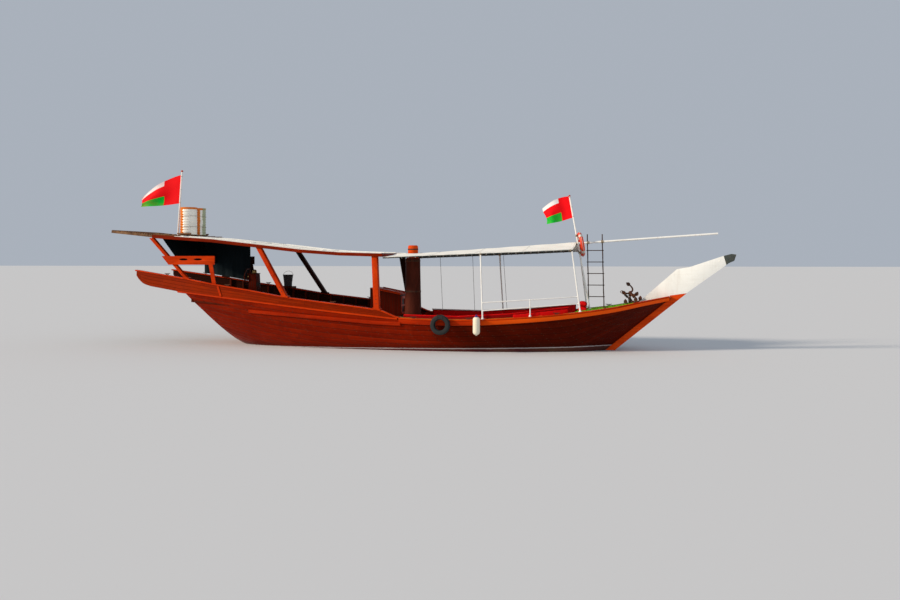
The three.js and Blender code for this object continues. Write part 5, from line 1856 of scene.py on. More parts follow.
def seamLines():
    shapes = []
    for x in (-0.30, 1.15, 2.60, 4.04):
        for k in (-1, 1):
            path = [(x + 0.012 * k, share * (edgeY(x) + 0.02), awningHeight(x, share) + 0.0035)
                    for share in spread(-0.985, 0.985, 60)]
            shapes.append(tube(path, 0.0018, 5))
    return shapes


makePiece("awning_stitching", seamLines(), "whiteRope")


# Lacing: one turn of line round pipe and hem at each eyelet
def lacing():
    paths = []
    for side in (-1, 1):
        for x in spread(-1.6, 3.95, 26):
            y = side * edgeY(x)
            path = wraps((x, y, pipeZ(x)), (1, 0, 0), 0.031, 1.15, 0.018, 14)
            paths.append(path)
    for y in spread(-1.2, 1.2, 11):
        z = pipeZ(frontX)
        paths.append(wraps((frontX, y, z), (0, 1, 0), 0.031, 1.15, 0.018, 14))
    return paths


rope("awning_lacing", lacing(), 0.0045, "whiteRope", step=1.6)


# Weather curtain: across between the stern posts, and down the port side, in soft folds
def curtainSheets():
    rows, runs = [], []
    for t in spread(0, 1, 60):
        row, line = [], []
        y = -1.302 + 2.604 * t
        for s in spread(0, 1, 26):
            x = -8.850 - 0.640 * s + 0.006
            z = 2.67 + 0.828 * s
            fold = (0.012 * math.sin(y * 16) + 0.006 * math.sin(y * 37 + 1)) * (1 - s) ** 0.6
            row.append((x + fold * 0.55 + 0.008 * (1 - s), y, z + 0.006 * math.sin(y * 5) * (1 - s)))
            line.append((y, z))
        rows.append(row)
        runs.append(line)
    parts = [(rows, runs)]
    rows, runs = [], []
    for t in spread(0, 1, 90):
        row, line = [], []
        base = -9.335 + 1.770 * t
        low, high = railTop(base) + 0.032, roofLow(base) - 0.002
        for s in spread(0, 1, 46):
            z = low + (high - low) * s
            x = base + min(0.0, -0.005 - 0.64 * (z - 3.3) / 0.828) * (1 - t) ** 6
            swing = 0.012 * math.sin(x * 13 + 0.6 * math.sin(z * 2)) + 0.004 * math.sin(x * 31 + z)
            fold = swing * (1 - s) ** 0.5
            row.append((x, 1.304 + fold, z))
            line.append((x, z))
        rows.append(row)
        runs.append(line)
    parts.append((rows, runs))
    return parts


def makeCurtain():
    shapes, area = [], 0.0
    parts = curtainSheets()
    for index, (rows, runs) in enumerate(parts):
        area += gridArea(rows)
        over, under = [], []
        for row in rows:
            if index:
                over.append([(x, y + 0.002, z) for x, y, z in row])
                under.append([(x, y - 0.002, z) for x, y, z in row])
            else:
                over.append([(x + 0.002, y, z) for x, y, z in row])
                under.append([(x - 0.002, y, z) for x, y, z in row])
        shapes.append(thickSheet(over, under, runs))
    # the tarpaulin's near-black is partly painted shade
    obj = makePiece("curtain_cloth", shapes, "tarp", replaces=["weather_curtain"], sharp=70)


makeCurtain()


# Flags: bands of white, red and green beside a red hoist
flagBands = {
    "white": (0.86, 0.85, 0.83, 1),
    "red": (0.86, 0.004, 0.008, 1),
    "green": (0.003, 0.46, 0.035, 1),
}


def flagStripes(tree, flat, colour):
    split = addNode(tree, "ShaderNodeSeparateXYZ", {0: flat})
    along, up = split.outputs[0], split.outputs[1]
    upper = rampOf(tree, up, 0.795, 0.802, False)
    lower = rampOf(tree, up, 0.378, 0.385, False)
    bands = mixColour(tree, lower, flagBands["green"], flagBands["red"])
    bands = mixColour(tree, upper, bands, flagBands["white"])
    hoist = rampOf(tree, along, 0.398, 0.402, False)
    return mixColour(tree, hoist, flagBands["red"], bands)


flagLook = clothMaterial("flag_cloth", (0.86, 0.004, 0.008), (0.62, 0.003, 0.006), 160.0, 0.0, 0.7, True,
                         flagStripes, depth=0.0006)


def flagRows(staff, low, high, fly, lowDrop, highDrop, reach, waves, fold):
    rows, runs = [], []
    for share in spread(0, 1, 52):
        row, line = [], []
        for up in spread(0, 1, 30):
            drop = lowDrop + (highDrop - lowDrop) * up
            start = onLine(staff, low + (high - low) * up)
            bend = share ** 1.15
            lift = 0.10 * math.sin(share * math.pi) * (up - 0.3)
            wave = math.sin(share * math.pi * waves + up * 0.9) * 0.085 * share
            wave += math.sin(share * 15 - up * 3) * 0.016 * share
            ripple = fold * math.sin(up * math.pi * 2.2 + share * 2) * share
            x = start[0] - reach - fly * share * (1 - 0.03 * math.sin(up * 4))
            x += 0.02 * share * math.sin(up * 6)
            row.append((x, start[1] + wave + ripple, start[2] - drop * bend + lift))
            line.append((share, up))
        rows.append(row)
        runs.append(line)
    return rows, runs


flagPlans = {
    "stern_flag": (sternStaff, 4.75, 5.73, 1.54, 0.09, 0.77, 0.031, 2.2, 0.05),
    "bow_flag": (bowStaff, 4.11, 4.78, 0.81, 0.19, 0.37, 0.028, 2.0, 0.025),
}
for flagName, plan in flagPlans.items():
    flagGrid, flagRuns = flagRows(*plan)
    clothSheet(flagName + "_cloth", flagGrid, flagRuns, 0.0016, flagLook, [flagName])


# Ties that hold the flags and the ridge pole
def ties():
    paths = []
    for staff, spots, radius in ((sternStaff, (4.79, 5.22, 5.68), 0.033),
                                 (bowStaff, (4.15, 4.45, 4.74), 0.029)):
        for z in spots:
            paths.append(wraps(onLine(staff, z), (0, 0, 1), radius, 2.2, 0.012, 14))
    return paths


rope("flag_ties", ties(), 0.0045, "whiteRope", step=1.5)
lashings = [wraps((x, 0, ridgeAt(x)), (1, 0, 0.066), 0.0385, 4.2, 0.020, 14)
            for x in (-0.95, 4.06, 4.42, 4.86)]
lashings += [wraps((x, side * edgeY(x), pipeZ(x)), (1, 0, 0), 0.034, 3.2, 0.018, 14) for x in (1.33, 4.0)
             for side in (-1, 1)]
lashings += [wraps(onLine(bowStaff, z), (0, 0, 1), 0.031, 4.2, 0.018, 14) for z in (3.02, 3.55)]
rope("pole_lashings", lashings, 0.009, "rope", step=1.2)
print("sheets hung")


# Benches with seat boards and fronts of upright boards
for label in ("starboard", "port"):
    easedCopy("bench_" + label, "panel", 0.006, name="bench_" + label + "_boards",
              flat=1.5)


# Seats and backs: crowned pads between button-down channels
cushions = {
    "pads": 6,
    "gap": 0.012,
    "pressure": 4.0,
}
backTops = [(-1.06, 1.13), (0.64, 1.10), (2.2, 1.19), (3.96, 1.39)]


def padSection(x):
    out = beamAt(x) - 0.131
    high = min(halfBreadth(x, 0.54) - plankThick - 0.012, beamAt(x) - 0.15)
    seatOut = min(high - 0.002, out - 0.03)
    inner = max(seatOut - 0.52, 0.19)
    top = lineAt(backTops, x)
    return out, seatOut, inner, top


def padGrid(corners, steps):
    a, b, c, d = corners
    grid = []
    for i in range(steps[0] + 1):
        row = []
        for k in range(steps[1] + 1):
            s, t = i / steps[0], k / steps[1]
            point = a * (1 - s) * (1 - t) + b * s * (1 - t) + c * s * t + d * (1 - s) * t
            row.append((point, s, t))
        grid.append(row)
    return grid


def crowned(s, t, power=0.35):
    return (4 * s * (1 - s)) ** power * (4 * t * (1 - t)) ** power


def pad(corners, thick, puff, steps=(20, 12), pinch=0.010):
    a, b, c, d = (Vector(corner) for corner in corners)
    normal = (b - a).cross(d - a).normalized()
    centre = (a + b + c + d) / 4
    top, low = [], []
    for row in padGrid((a, b, c, d), steps):
        topRow, lowRow = [], []
        for point, s, t in row:
            bow = crowned(s, t)
            corner = (1 - 4 * s * (1 - s)) * (1 - 4 * t * (1 - t))
            side = (point - centre)
            inward = -side.normalized() * pinch * (1 - corner) * (1 - bow) * 0.6
            topRow.append(tuple(point + inward * 0.4 + normal * (thick * (0.62 + 0.38 * bow) + puff * bow)))
            lowRow.append(tuple(point + inward * 0.4 + normal * (0.002 + thick * 0.22 * (1 - bow))))
        top.append(topRow)
        low.append(lowRow)
    return top, low


def padObject(name, pads, look):
    shapes = []
    for top, low in pads:
        points, faces, _ = thickSheet(top, low)
        shapes.append((points, faces, None))
    mesh = bpy.data.meshes.new(name)
    points, faces = [], []
    for shape in shapes:
        start = len(points)
        points.extend(shape[0])
        faces.extend(tuple(start + i for i in face) for face in shape[1])
    mesh.from_pydata(points, [], faces)
    mesh.materials.append(finish[look])
    obj = bpy.data.objects.new(name, mesh)
    scene.collection.objects.link(obj)
    return obj


def inflate(obj, voxel, limit, pressure):
    bpy.context.view_layer.objects.active = obj
    remesh = obj.modifiers.new("even", "REMESH")
    remesh.mode = "VOXEL"
    remesh.voxel_size = voxel
    graph = bpy.context.evaluated_depsgraph_get()
    even = bpy.data.meshes.new_from_object(obj.evaluated_get(graph))
    obj.modifiers.remove(remesh)
    old = obj.data
    look = old.materials[0]
    obj.data = even
    even.materials.clear()
    even.materials.append(look)
    bpy.data.meshes.remove(old)
    start = [vertex.co.copy() for vertex in even.vertices]
    cloth = obj.modifiers.new("cloth", "CLOTH")
    cloth.settings.quality = 4
    cloth.settings.mass = 0.3
    cloth.settings.tension_stiffness = 14
    cloth.settings.compression_stiffness = 14
    cloth.settings.bending_stiffness = 0.6
    cloth.settings.use_pressure = True
    cloth.settings.uniform_pressure_force = pressure
    cloth.settings.effector_weights.gravity = 0
    for step in range(1, 21):
        scene.frame_set(step)
    graph = bpy.context.evaluated_depsgraph_get()
    shaped = bpy.data.meshes.new_from_object(obj.evaluated_get(graph))
    obj.modifiers.remove(cloth)
    scene.frame_set(1)
    for vertex, before in zip(shaped.vertices, start):
        shift = vertex.co - before
        if shift.length > limit:
            vertex.co = before + shift * (limit / shift.length)
    obj.data = shaped
    bpy.data.meshes.remove(even)


def smoothed(obj, levels=1, sharp=60):
    soft = obj.modifiers.new("soft", "SUBSURF")
    soft.levels = levels
    soft.render_levels = levels
    graph = bpy.context.evaluated_depsgraph_get()
    mesh = bpy.data.meshes.new_from_object(obj.evaluated_get(graph))
    obj.modifiers.remove(soft)
    old = obj.data
    obj.data = mesh
    bpy.data.meshes.remove(old)
    smoothByAngle(mesh, sharp)


def padPlaces(values):
    ends = spread(-1.035, 3.935, values["pads"] + 1)
    return [(a + values["gap"] / 2, b - values["gap"] / 2) for a, b in zip(ends, ends[1:])]


def padLimit(x, z, y):
    return min(y, halfBreadth(x, z) - plankThick - 0.012)


def benchPads(side):
    seats, backs = [], []
    for x0, x1 in padPlaces(cushions):
        o0, s0, i0, t0 = padSection(x0)
        o1, s1, i1, t1 = padSection(x1)
        z = 0.603
        corners = [(x0, side * (i0 + 0.006), z), (x1, side * (i1 + 0.006), z),
                   (x1, side * (s1 - 0.10), z), (x0, side * (s0 - 0.10), z)]
        if side < 0:
            corners = [corners[1], corners[0], corners[3], corners[2]]
        seats.append(pad(corners, 0.056, 0.0))
        lowZ = 0.70
        lean0, lean1 = (o0 - s0 - 0.02) * 0.3, (o1 - s1 - 0.02) * 0.3
        corners = [(x0, side * padLimit(x0, lowZ, o0 - 0.012 - lean0), lowZ),
                   (x1, side * padLimit(x1, lowZ, o1 - 0.012 - lean1), lowZ),
                   (x1, side * padLimit(x1, t1 - 0.035, o1 - 0.012), t1 - 0.035),
                   (x0, side * padLimit(x0, t0 - 0.035, o0 - 0.012), t0 - 0.035)]
        if side > 0:
            corners = [corners[1], corners[0], corners[3], corners[2]]
            corners = [corners[1], corners[0], corners[3], corners[2]]
        top, low = pad(corners, 0.062, 0.0, (20, 14))
        centre = sum((Vector(point) for point in top[10]), Vector()) / len(top[10])
        if side * centre.y > o0 - 0.02:
            top, low = pad([corners[1], corners[0], corners[3], corners[2]], 0.062, 0.0, (20, 14))
        backs.append((top, low))
    return seats, backs


def benchTops(side):
    shapes = []
    places = spread(-1.035, 3.935, 60)
    shapes.append((*strip(places, lambda x: [
        (padSection(x)[0] - 0.088, lineAt(backTops, x) - 0.036),
        (padSection(x)[0] - 0.001, lineAt(backTops, x) - 0.036),
        (padSection(x)[0] - 0.001, lineAt(backTops, x) - 0.002),
        (padSection(x)[0] - 0.088, lineAt(backTops, x) - 0.002)],
        side, 0.012, 3), 0))
    return shapes


# Painted shade: a dark red strip along the outer face of each back cushion
def shadeBandStrips(side):
    places = spread(-1.035, 3.935, 60)

    def section(x):
        top = lineAt(backTops, x) - 0.038
        low = padLimit(x, 0.66, padSection(x)[0] - 0.002)
        high = padLimit(x, top, padSection(x)[0] - 0.002)
        return [(low - 0.008, 0.66), (low, 0.66), (high, top), (high - 0.008, top)]
    return [strip(places, section, side, 0)]


for side, label in ((-1, "starboard"), (1, "port")):
    seatPads, backPads = benchPads(side)
    soft = padObject("seat_pads_" + label, seatPads + backPads, "cushion")
    inflate(soft, 0.022, 0.014, cushions["pressure"])
    smoothed(soft)
    settle(soft, "boat", ["seat_cushion_" + label])
    top = makePiece("seat_back_roll_" + label, benchTops(side), ["piping" if side > 0 else "cushion"])
    # the back's outer face carries a strip of painted shade
    makePiece("seat_back_shade_strip_" + label, shadeBandStrips(side), ["shadedCushion"])

frontCorners = [(4.155, -0.635), (4.415, -0.635), (4.415, -0.205), (4.155, -0.205)]
foreBase = turfTop(4.29) + 0.002
seatBlocks = []
for low, high in ((foreBase + 0.002, 1.355), (1.36, 1.525)):
    seatBlocks.append(pad([(x, y, low) for x, y in frontCorners], (high - low) * 0.82,
                          (high - low) * 0.16, (12, 14), 0.014))
foreSeat = padObject("fore_seat_pads", seatBlocks, "cushion")
inflate(foreSeat, 0.016, 0.010, cushions["pressure"])
smoothed(foreSeat)
settle(foreSeat, "boat", ["fore_seat"])
print("pads filled")


# Bow plank and its dark tip: thick boards with eased edges and through bolts
easedCopy("bow_plank", "white", 0.012, name="bow_plank_board", flat=1.2)
easedCopy("bow_plank_tip", "grey", 0.012, name="bow_plank_end", flat=1.2)
plankBolts = []
for x, z in ((7.62, 2.12), (7.74, 2.34), (8.30, 2.56), (8.36, 2.76), (6.72, 1.78), (6.95, 1.90),
             (8.62, 2.82), (8.74, 2.90)):
    plankBolts.extend([((x, side * (0.0555 if x < 8.55 else 0.0605), z), (0, side, 0)) for side in (-1, 1)])
heads("plank_bolts", [bolt for bolt in plankBolts if bolt[0][0] < 8.55], 0.017, 0.5, "white")
heads("plank_tip_bolts", [bolt for bolt in plankBolts if bolt[0][0] > 8.55], 0.017, 0.5, "grey")

# Companion: a low house with a sliding lid, framed doors and brass pulls
easedCopy("companion", "panel", 0.008, name="companion_boards", flat=1.2)
companionTrim = [
    beamShape((-2.75, 0.70, 1.867), (-1.70, 0.70, 1.667), 1.12, 0.028),
    beamShape((-2.60, 0.26, 1.868), (-1.74, 0.26, 1.704), 0.05, 0.035),
    beamShape((-2.60, 1.14, 1.868), (-1.74, 1.14, 1.704), 0.05, 0.035),
]
for y0, y1 in ((0.20, 0.68), (0.72, 1.20)):
    bars = [(y0, 1.00, y0 + 0.07, 1.60), (y1 - 0.07, 1.00, y1, 1.60)]
    bars += [(y0 + 0.07, low, y1 - 0.07, high) for low, high in ((1.00, 1.08), (1.52, 1.60), (1.27, 1.33))]
    for start, low, end, high in bars:
        companionTrim.append(boxShape((-1.70, start, low), (-1.682, end, high)))
makePiece("companion_trim", companionTrim, "orangeY", bevel=0.005)
makePiece("companion_pulls", [ball((-1.672, y, 1.30), 0.018) for y in (0.65, 0.75)], "brass")

# Helm: pedestal with a brass compass on its top, and the turned wheel
easedCopy("helm_pedestal", "panel", 0.010, name="helm_pedestal_case", flat=1.2)
makePiece("helm_trim", [
    boxShape((-6.95, -0.19, 2.331), (-6.67, 0.19, 2.352)),
    boxShape((-6.99, -0.185, deckAt(-6.8) + 0.001), (-6.62, -0.171, deckAt(-6.8) + 0.09)),
    boxShape((-6.99, 0.171, deckAt(-6.8) + 0.001), (-6.62, 0.185, deckAt(-6.8) + 0.09)),
], "brownX", bevel=0.005)
makePiece("helm_compass", [
    turnedShape([(0, 0), (0.085, 0), (0.088, 0.012), (0.075, 0.02), (0.072, 0.07), (0.060, 0.10),
                 (0.030, 0.118), (0, 0.122)],
                (-6.80, 0, 2.353), sides=28)], "brass", sharp=50)

wheelPlan = {
    "centre": (-7.04, 0.0, 2.23),
    "rim": 0.262,
    "handle": 0.330,
    "spokes": 6,
}


def wheelShapes(values):
    centre = values["centre"]
    rimRows = [(values["rim"] - 0.022, -0.013), (values["rim"] + 0.014, -0.016), (values["rim"] + 0.018, 0.0),
               (values["rim"] + 0.014, 0.016), (values["rim"] - 0.022, 0.013)]
    shapes = [(*turnedShape(rimRows, centre, (1, 0, 0), 48), 0)]
    hub = [(0, -0.026), (0.030, -0.026), (0.040, -0.020), (0.042, 0.0), (0.042, 0.055), (0.038, 0.099),
           (0, 0.099)]
    shapes.append((*turnedShape(hub, centre, (1, 0, 0), 28), 1))
    spoke = [(0.010, 0.02), (0.016, 0.05), (0.011, 0.07), (0.017, 0.10), (0.012, 0.14), (0.010, 0.19),
             (0.015, 0.225),
             (0.012, 0.238), (0.012, 0.280), (0.014, 0.288), (0.009, 0.294), (0.014, 0.312),
             (0.012, values["handle"] - 0.004),
             (0, values["handle"])]
    spoke = [(0, 0.02)] + spoke
    for k in range(values["spokes"]):
        turn = k * 2 * math.pi / values["spokes"]
        shapes.append((*turnedShape(spoke, centre, (0, math.cos(turn), math.sin(turn)), 14), 0))
    return shapes


makePiece("helm_wheel_turned", wheelShapes(wheelPlan), ["brownZ", "brass"], body="helm_wheel",
          replaces=["helm_wheel"],
          sharp=40)

# Propeller: three skewed blades of falling pitch on a tapered hub with its nut
screw = {
    "centre": (-5.78, 0.0, -0.70),
    "radius": 0.28,
    "blades": 3,
}


def bladeShape(values, turn):
    over, under = [], []
    for share in spread(0, 1, 14):
        radius = 0.045 + (values["radius"] - 0.045) * share
        chord = 0.165 * max(math.sin(math.pi * (0.20 + 0.78 * share)), 0.05) ** 0.6
        pitch = math.atan2(0.30, 2 * math.pi * max(radius, 0.05))
        skew = 0.10 * share * share
        thick = 0.016 * (1 - share) + 0.004
        back, face = [], []
        for s in spread(-0.5, 0.5, 9):
            angle = turn + skew + s * chord * math.cos(pitch) / radius
            x = s * chord * math.sin(pitch)
            swell = thick * (1 - (2 * s) ** 2) + 0.0012
            place = Vector((x, radius * math.cos(angle), radius * math.sin(angle)))
            facing = Vector((math.cos(pitch), math.sin(pitch) * math.sin(angle),
                             -math.sin(pitch) * math.cos(angle)))
            back.append(tuple(Vector(values["centre"]) + place + facing * swell / 2))
            face.append(tuple(Vector(values["centre"]) + place - facing * swell / 2))
        over.append(back)
        under.append(face)
    return thickSheet(over, under)


def screwShapes(values):
    shapes = [(*bladeShape(values, math.pi / 2 + k * 2 * math.pi / values["blades"]), 0)
              for k in range(values["blades"])]
    x, y, z = values["centre"]
    hub = [(0, -0.079), (0.020, -0.079), (0.024, -0.060), (0.024, -0.050), (0.042, -0.048),
           (0.050, -0.02), (0.055, 0.03),
           (0.054, 0.079), (0, 0.079)]
    shapes.append((*turnedShape(hub, (x, y, z), (1, 0, 0), 32), 0))
    shapes.append((*rod((x + 0.07, y, z), (-5.6458, y, z), 0.0265, 20), 1))
    return shapes


makePiece("propeller_cast", screwShapes(screw), ["bronze", "iron"], body="propeller",
          replaces=["propeller"], sharp=45)

# Rudder irons: straps round the stock
makePiece("rudder_straps", [
    boxShape((-6.95, -0.032, z - 0.03), (-6.30, 0.032, z + 0.03)) for z in (-0.52, -0.86)
], "darkIron", body="rudder", bevel=0.004)

# Turf on the foredeck: a mat with short blades
turfPlan = {
    "density": 5200.0,
    "blade": 0.034,
    "seed": 4,
}


def buildTurf():
    tree, given, result = newNodeTree("turfBlades", [
        ("Density", "NodeSocketFloat", 4000.0), ("Blade", "NodeSocketFloat", 0.02),
        ("Seed", "NodeSocketInt", 1),
        ("Material", "NodeSocketMaterial", None)])
    normal = addNode(tree, "GeometryNodeInputNormal")
    parts = addNode(tree, "ShaderNodeSeparateXYZ", {0: normal.outputs[0]})
    up = addNode(tree, "FunctionNodeCompare", {0: parts.outputs[2], 1: 0.8}, operation="GREATER_THAN")
    spots = addNode(tree, "GeometryNodeDistributePointsOnFaces", {
        "Mesh": given.outputs["Geometry"], "Selection": up.outputs[0], "Density": given.outputs["Density"],
        "Seed": given.outputs["Seed"]}, distribute_method="RANDOM")
    blade = addNode(tree, "GeometryNodeMeshCone", {
        "Vertices": 3, "Radius Top": 0.0, "Radius Bottom": 0.0034, "Depth": given.outputs["Blade"]})
    tilt = addNode(tree, "FunctionNodeRandomValue",
                   {"Min": (-0.5, -0.5, 0.0), "Max": (0.5, 0.5, 6.28), "Seed": 3},
                   data_type="FLOAT_VECTOR")
    size = addNode(tree, "FunctionNodeRandomValue", {2: 0.6, 3: 1.15, "Seed": 5}, data_type="FLOAT")
    place = addNode(tree, "GeometryNodeInstanceOnPoints", {
        "Points": spots.outputs[0], "Instance": blade.outputs[0], "Rotation": tilt.outputs[0],
        "Scale": size.outputs[1]})
    real = addNode(tree, "GeometryNodeRealizeInstances", {0: place.outputs[0]})
    both = addNode(tree, "GeometryNodeJoinGeometry")
    tree.links.new(given.outputs["Geometry"], both.inputs[0])
    tree.links.new(real.outputs[0], both.inputs[0])
    painted = addNode(tree, "GeometryNodeSetMaterial",
                      {"Geometry": both.outputs[0], "Material": given.outputs["Material"]})
    tree.links.new(painted.outputs[0], result.inputs[0])
    return tree


turfMesh = cadNodes["foredeck_turf"].data.copy()
turfMesh.materials.clear()
turfObject = bpy.data.objects.new("foredeck_turf_blades", turfMesh)
scene.collection.objects.link(turfObject)
withNodes(turfObject, buildTurf(), {
    "Density": turfPlan["density"], "Blade": turfPlan["blade"], "Seed": turfPlan["seed"],
    "Material": finish["turf"]})
turfPiece = bakedPiece(turfObject, "boat", ["foredeck_turf"], 60)
print("turf laid:", len(turfPiece.data.polygons))

# Lifebuoy: a moulded ring with four cloth bands and its grab line
buoy = {
    "radius": 0.320,
    "tube": 0.061,
    "lean": math.atan2(4.48 - 3.85, 4.80 - 1.25),
    "turn": math.radians(12),
}
buoyStart = Vector(onLine(bowStaff, 3.28))
buoyCentre = buoyStart + Vector(((0.026 + buoy["tube"] + 0.0015) / math.cos(buoy["lean"]), 0, 0))
buoyTurn = Matrix.Rotation(-buoy["lean"], 4, "Y") @ Matrix.Rotation(buoy["turn"], 4, "Z")
buoyTurn = buoyTurn @ Matrix.Rotation(math.pi / 2, 4, "Y")
buoyPlace = Matrix.Translation(buoyCentre) @ buoyTurn


def ringPath(radius, start=0.0, end=2 * math.pi, count=49, lift=0.0):
    return [(radius * math.cos(turn), radius * math.sin(turn), lift) for turn in spread(start, end, count)]


def buoyShapes(values):
    shapes = []
    body = tube(ringPath(values["radius"], count=65)[:-1], values["tube"] - 0.001, 20, True)
    shapes.append((*transformed(body, buoyPlace), 0))
    for k in range(4):
        middle = math.pi / 4 + k * math.pi / 2
        band = tube(ringPath(values["radius"], middle - 0.13, middle + 0.13, 9), values["tube"] + 0.0005, 20)
        shapes.append((*transformed(band, buoyPlace), 1))
    return shapes


makePiece("lifebuoy_ring", buoyShapes(buoy), ["buoy", "whiteRope"], replaces=["lifebuoy"],
          sharp=50)
grab = []
for k in range(4):
    start = math.pi / 4 + k * math.pi / 2
    path = []
    for share in spread(0, 1, 18):
        turn = start + share * math.pi / 2
        reach = buoy["radius"] + buoy["tube"] + 0.004 + 0.012 * math.sin(math.pi * share)
        path.append(tuple(buoyPlace @ Vector((reach * math.cos(turn), reach * math.sin(turn), 0.0))))
    grab.append(path)
rope("lifebuoy_line", grab, 0.006, "whiteRope", step=1.4)

# Ladder: peeled poles with lashed rungs
ladderY = 0.0525
ladderRows = {"aft": (4.44, 4.39), "fore": (4.91, 4.85)}
rungHeights = (1.65, 2.01, 2.37, 2.73, 3.09)


def poleAt(ends, z):
    return ends[0] + (ends[1] - ends[0]) * (z - 1.2) / 2.4


def ladderShapes():
    shapes = []
    for ends in ladderRows.values():
        low = turfTop(ends[0]) + 0.001
        path = [(poleAt(ends, z) + 0.002 * math.sin(z * 9), ladderY, z) for z in spread(low, 3.598, 26)]
        shapes.append(tube(path, lambda share: 0.0165 + 0.0012 * math.sin(share * 37), 12))
    for z in rungHeights:
        shapes.append(rod((poleAt(ladderRows["aft"], z) - 0.035, ladderY, z),
                          (poleAt(ladderRows["fore"], z) + 0.035, ladderY, z), 0.0128, 12))
    return shapes


makePiece("ladder_poles", ladderShapes(), "darkX", replaces=["ladder"], sharp=45)
knots = []
for z in rungHeights:
    for ends in ladderRows.values():
        knots.append(wraps((poleAt(ends, z), ladderY, z), (0.7, 0, 0.7), 0.0215, 2.2, 0.011, 12))
        knots.append(wraps((poleAt(ends, z), ladderY, z), (-0.7, 0, 0.7), 0.0215, 2.2, 0.011, 12))
rope("ladder_lashings", knots, 0.0045, "darkRope", step=1.8)

# Drums on the roof: ribbed, with rolled rims, on a slatted cradle under a strap
drumPlan = {
    "x": -9.08,
    "y": 0.31,
    "radius": 0.288,
    "height": 0.926,
}


def drumRows(values):
    radius, height = values["radius"], values["height"]
    rows = [(0.0, 0.012), (radius - 0.020, 0.012), (radius - 0.014, 0.0), (radius, 0.0), (radius, 0.024),
            (radius - 0.012, 0.032)]
    for k in range(9):
        z = 0.075 + k * 0.087
        rows.extend([(radius - 0.012, z), (radius - 0.002, z + 0.016), (radius - 0.002, z + 0.028),
                     (radius - 0.012, z + 0.044)])
    rows.extend([(radius - 0.012, height - 0.04), (radius, height - 0.030), (radius, height),
                 (radius - 0.016, height),
                 (radius - 0.020, height - 0.016), (0.0, height - 0.014)])
    return rows


drumBase = roofLow(-9.33) + roofBase + 0.018 + roofBoard + 0.0002
drumFoot = drumBase + 0.031
cradleSpots = (-9.29, -9.08, -8.87)


def drumShapes(values):
    shapes = []
    for side in (-1, 1):
        shapes.append((*turnedShape(drumRows(values), (values["x"], side * values["y"], drumFoot),
                                    sides=48), 0))
        for dx, dy in ((0.15, 0.10), (-0.16, 0.05)):
            plug = [(0, 0), (0.028, 0), (0.028, 0.012), (0.018, 0.016), (0.018, 0.022), (0, 0.022)]
            shapes.append((*turnedShape(plug,
                                        (values["x"] + dx, side * values["y"] + dy,
                                         drumFoot + values["height"] - 0.014),
                                        sides=16), 0))
    return shapes


makePiece("drum_shells", drumShapes(drumPlan), ["drum"], replaces=["water_drums"],
          sharp=42)
cradle = [boxShape((x - 0.04, -0.56, drumBase), (x + 0.04, 0.56, drumBase + 0.030)) for x in cradleSpots]
cradle += [boxShape((-9.33, y - 0.02, drumBase + 0.0305), (-8.83, y + 0.02, drumBase + 0.08))
           for y in (-0.62, 0.62)]
for x in cradleSpots:
    low = roofLow(x) + roofBase + crownAt(0.4) + roofBoard + 0.001
    cradle += [boxShape((x - 0.03, y - 0.05, low), (x + 0.03, y + 0.05, drumBase - 0.0005))
               for y in (-0.45, 0.0, 0.45)]
makePiece("drum_cradle", cradle, "slat", bevel=0.004)
straps = []
for level in (0.30, 0.66):
    path = [(drumPlan["x"] + 0.294 * math.sin(-turn), drumPlan["y"] + 0.294 * math.cos(turn),
             drumBase + level)
            for turn in spread(-math.pi / 2, math.pi / 2, 20)]
    other = [(2 * drumPlan["x"] - x, -y, z) for x, y, z in path]
    whole = path + other + [path[0]]
    straps.append(whole)
rope("drum_lashing", straps, 0.005, "rope", step=1.3)
print("drums set")

# Tyre over the side: a worn tread with grooves, beads and its two lines
tyrePlan = {
    "x": 0.18,
    "z": 0.84,
    "inner": 0.165,
}
tyreY = -(beamAt(0.18) + 0.042) - 0.0893


def tyreShape(values):
    section = [
        (values["inner"], -0.058), (0.185, -0.083), (0.215, -0.0845), (0.255, -0.084), (0.279, -0.080),
        (0.294, -0.066),
        (0.3015, -0.052), (0.3015, -0.032), (0.291, -0.030), (0.291, -0.024), (0.3020, -0.022),
        (0.3020, -0.004),
        (0.291, -0.003), (0.291, 0.003), (0.3020, 0.004), (0.3020, 0.022), (0.291, 0.024), (0.291, 0.030),
        (0.3015, 0.032),
        (0.3015, 0.052), (0.294, 0.066), (0.279, 0.080), (0.255, 0.084), (0.215, 0.0845), (0.185, 0.083),
        (values["inner"], 0.058),
        (0.176, 0.046), (0.215, 0.060), (0.262, 0.058), (0.276, 0.03), (0.278, 0.0), (0.276, -0.03),
        (0.262, -0.058),
        (0.215, -0.060), (0.176, -0.046)]
    rings = []
    steps = 144
    for i in range(steps):
        turn = 2 * math.pi * i / steps
        notch = 0.008 if i % 4 == 0 else 0.0
        ring = []
        for radius, across in section:
            size = radius - notch if radius > 0.2925 else radius
            ring.append((values["x"] + size * math.cos(turn), tyreY + across,
                         values["z"] + size * math.sin(turn)))
        rings.append(ring)
    return loft(rings, False)


makePiece("tyre_casing", [tyreShape(tyrePlan)], "rubber", replaces=["tyre_fender"],
          sharp=35)

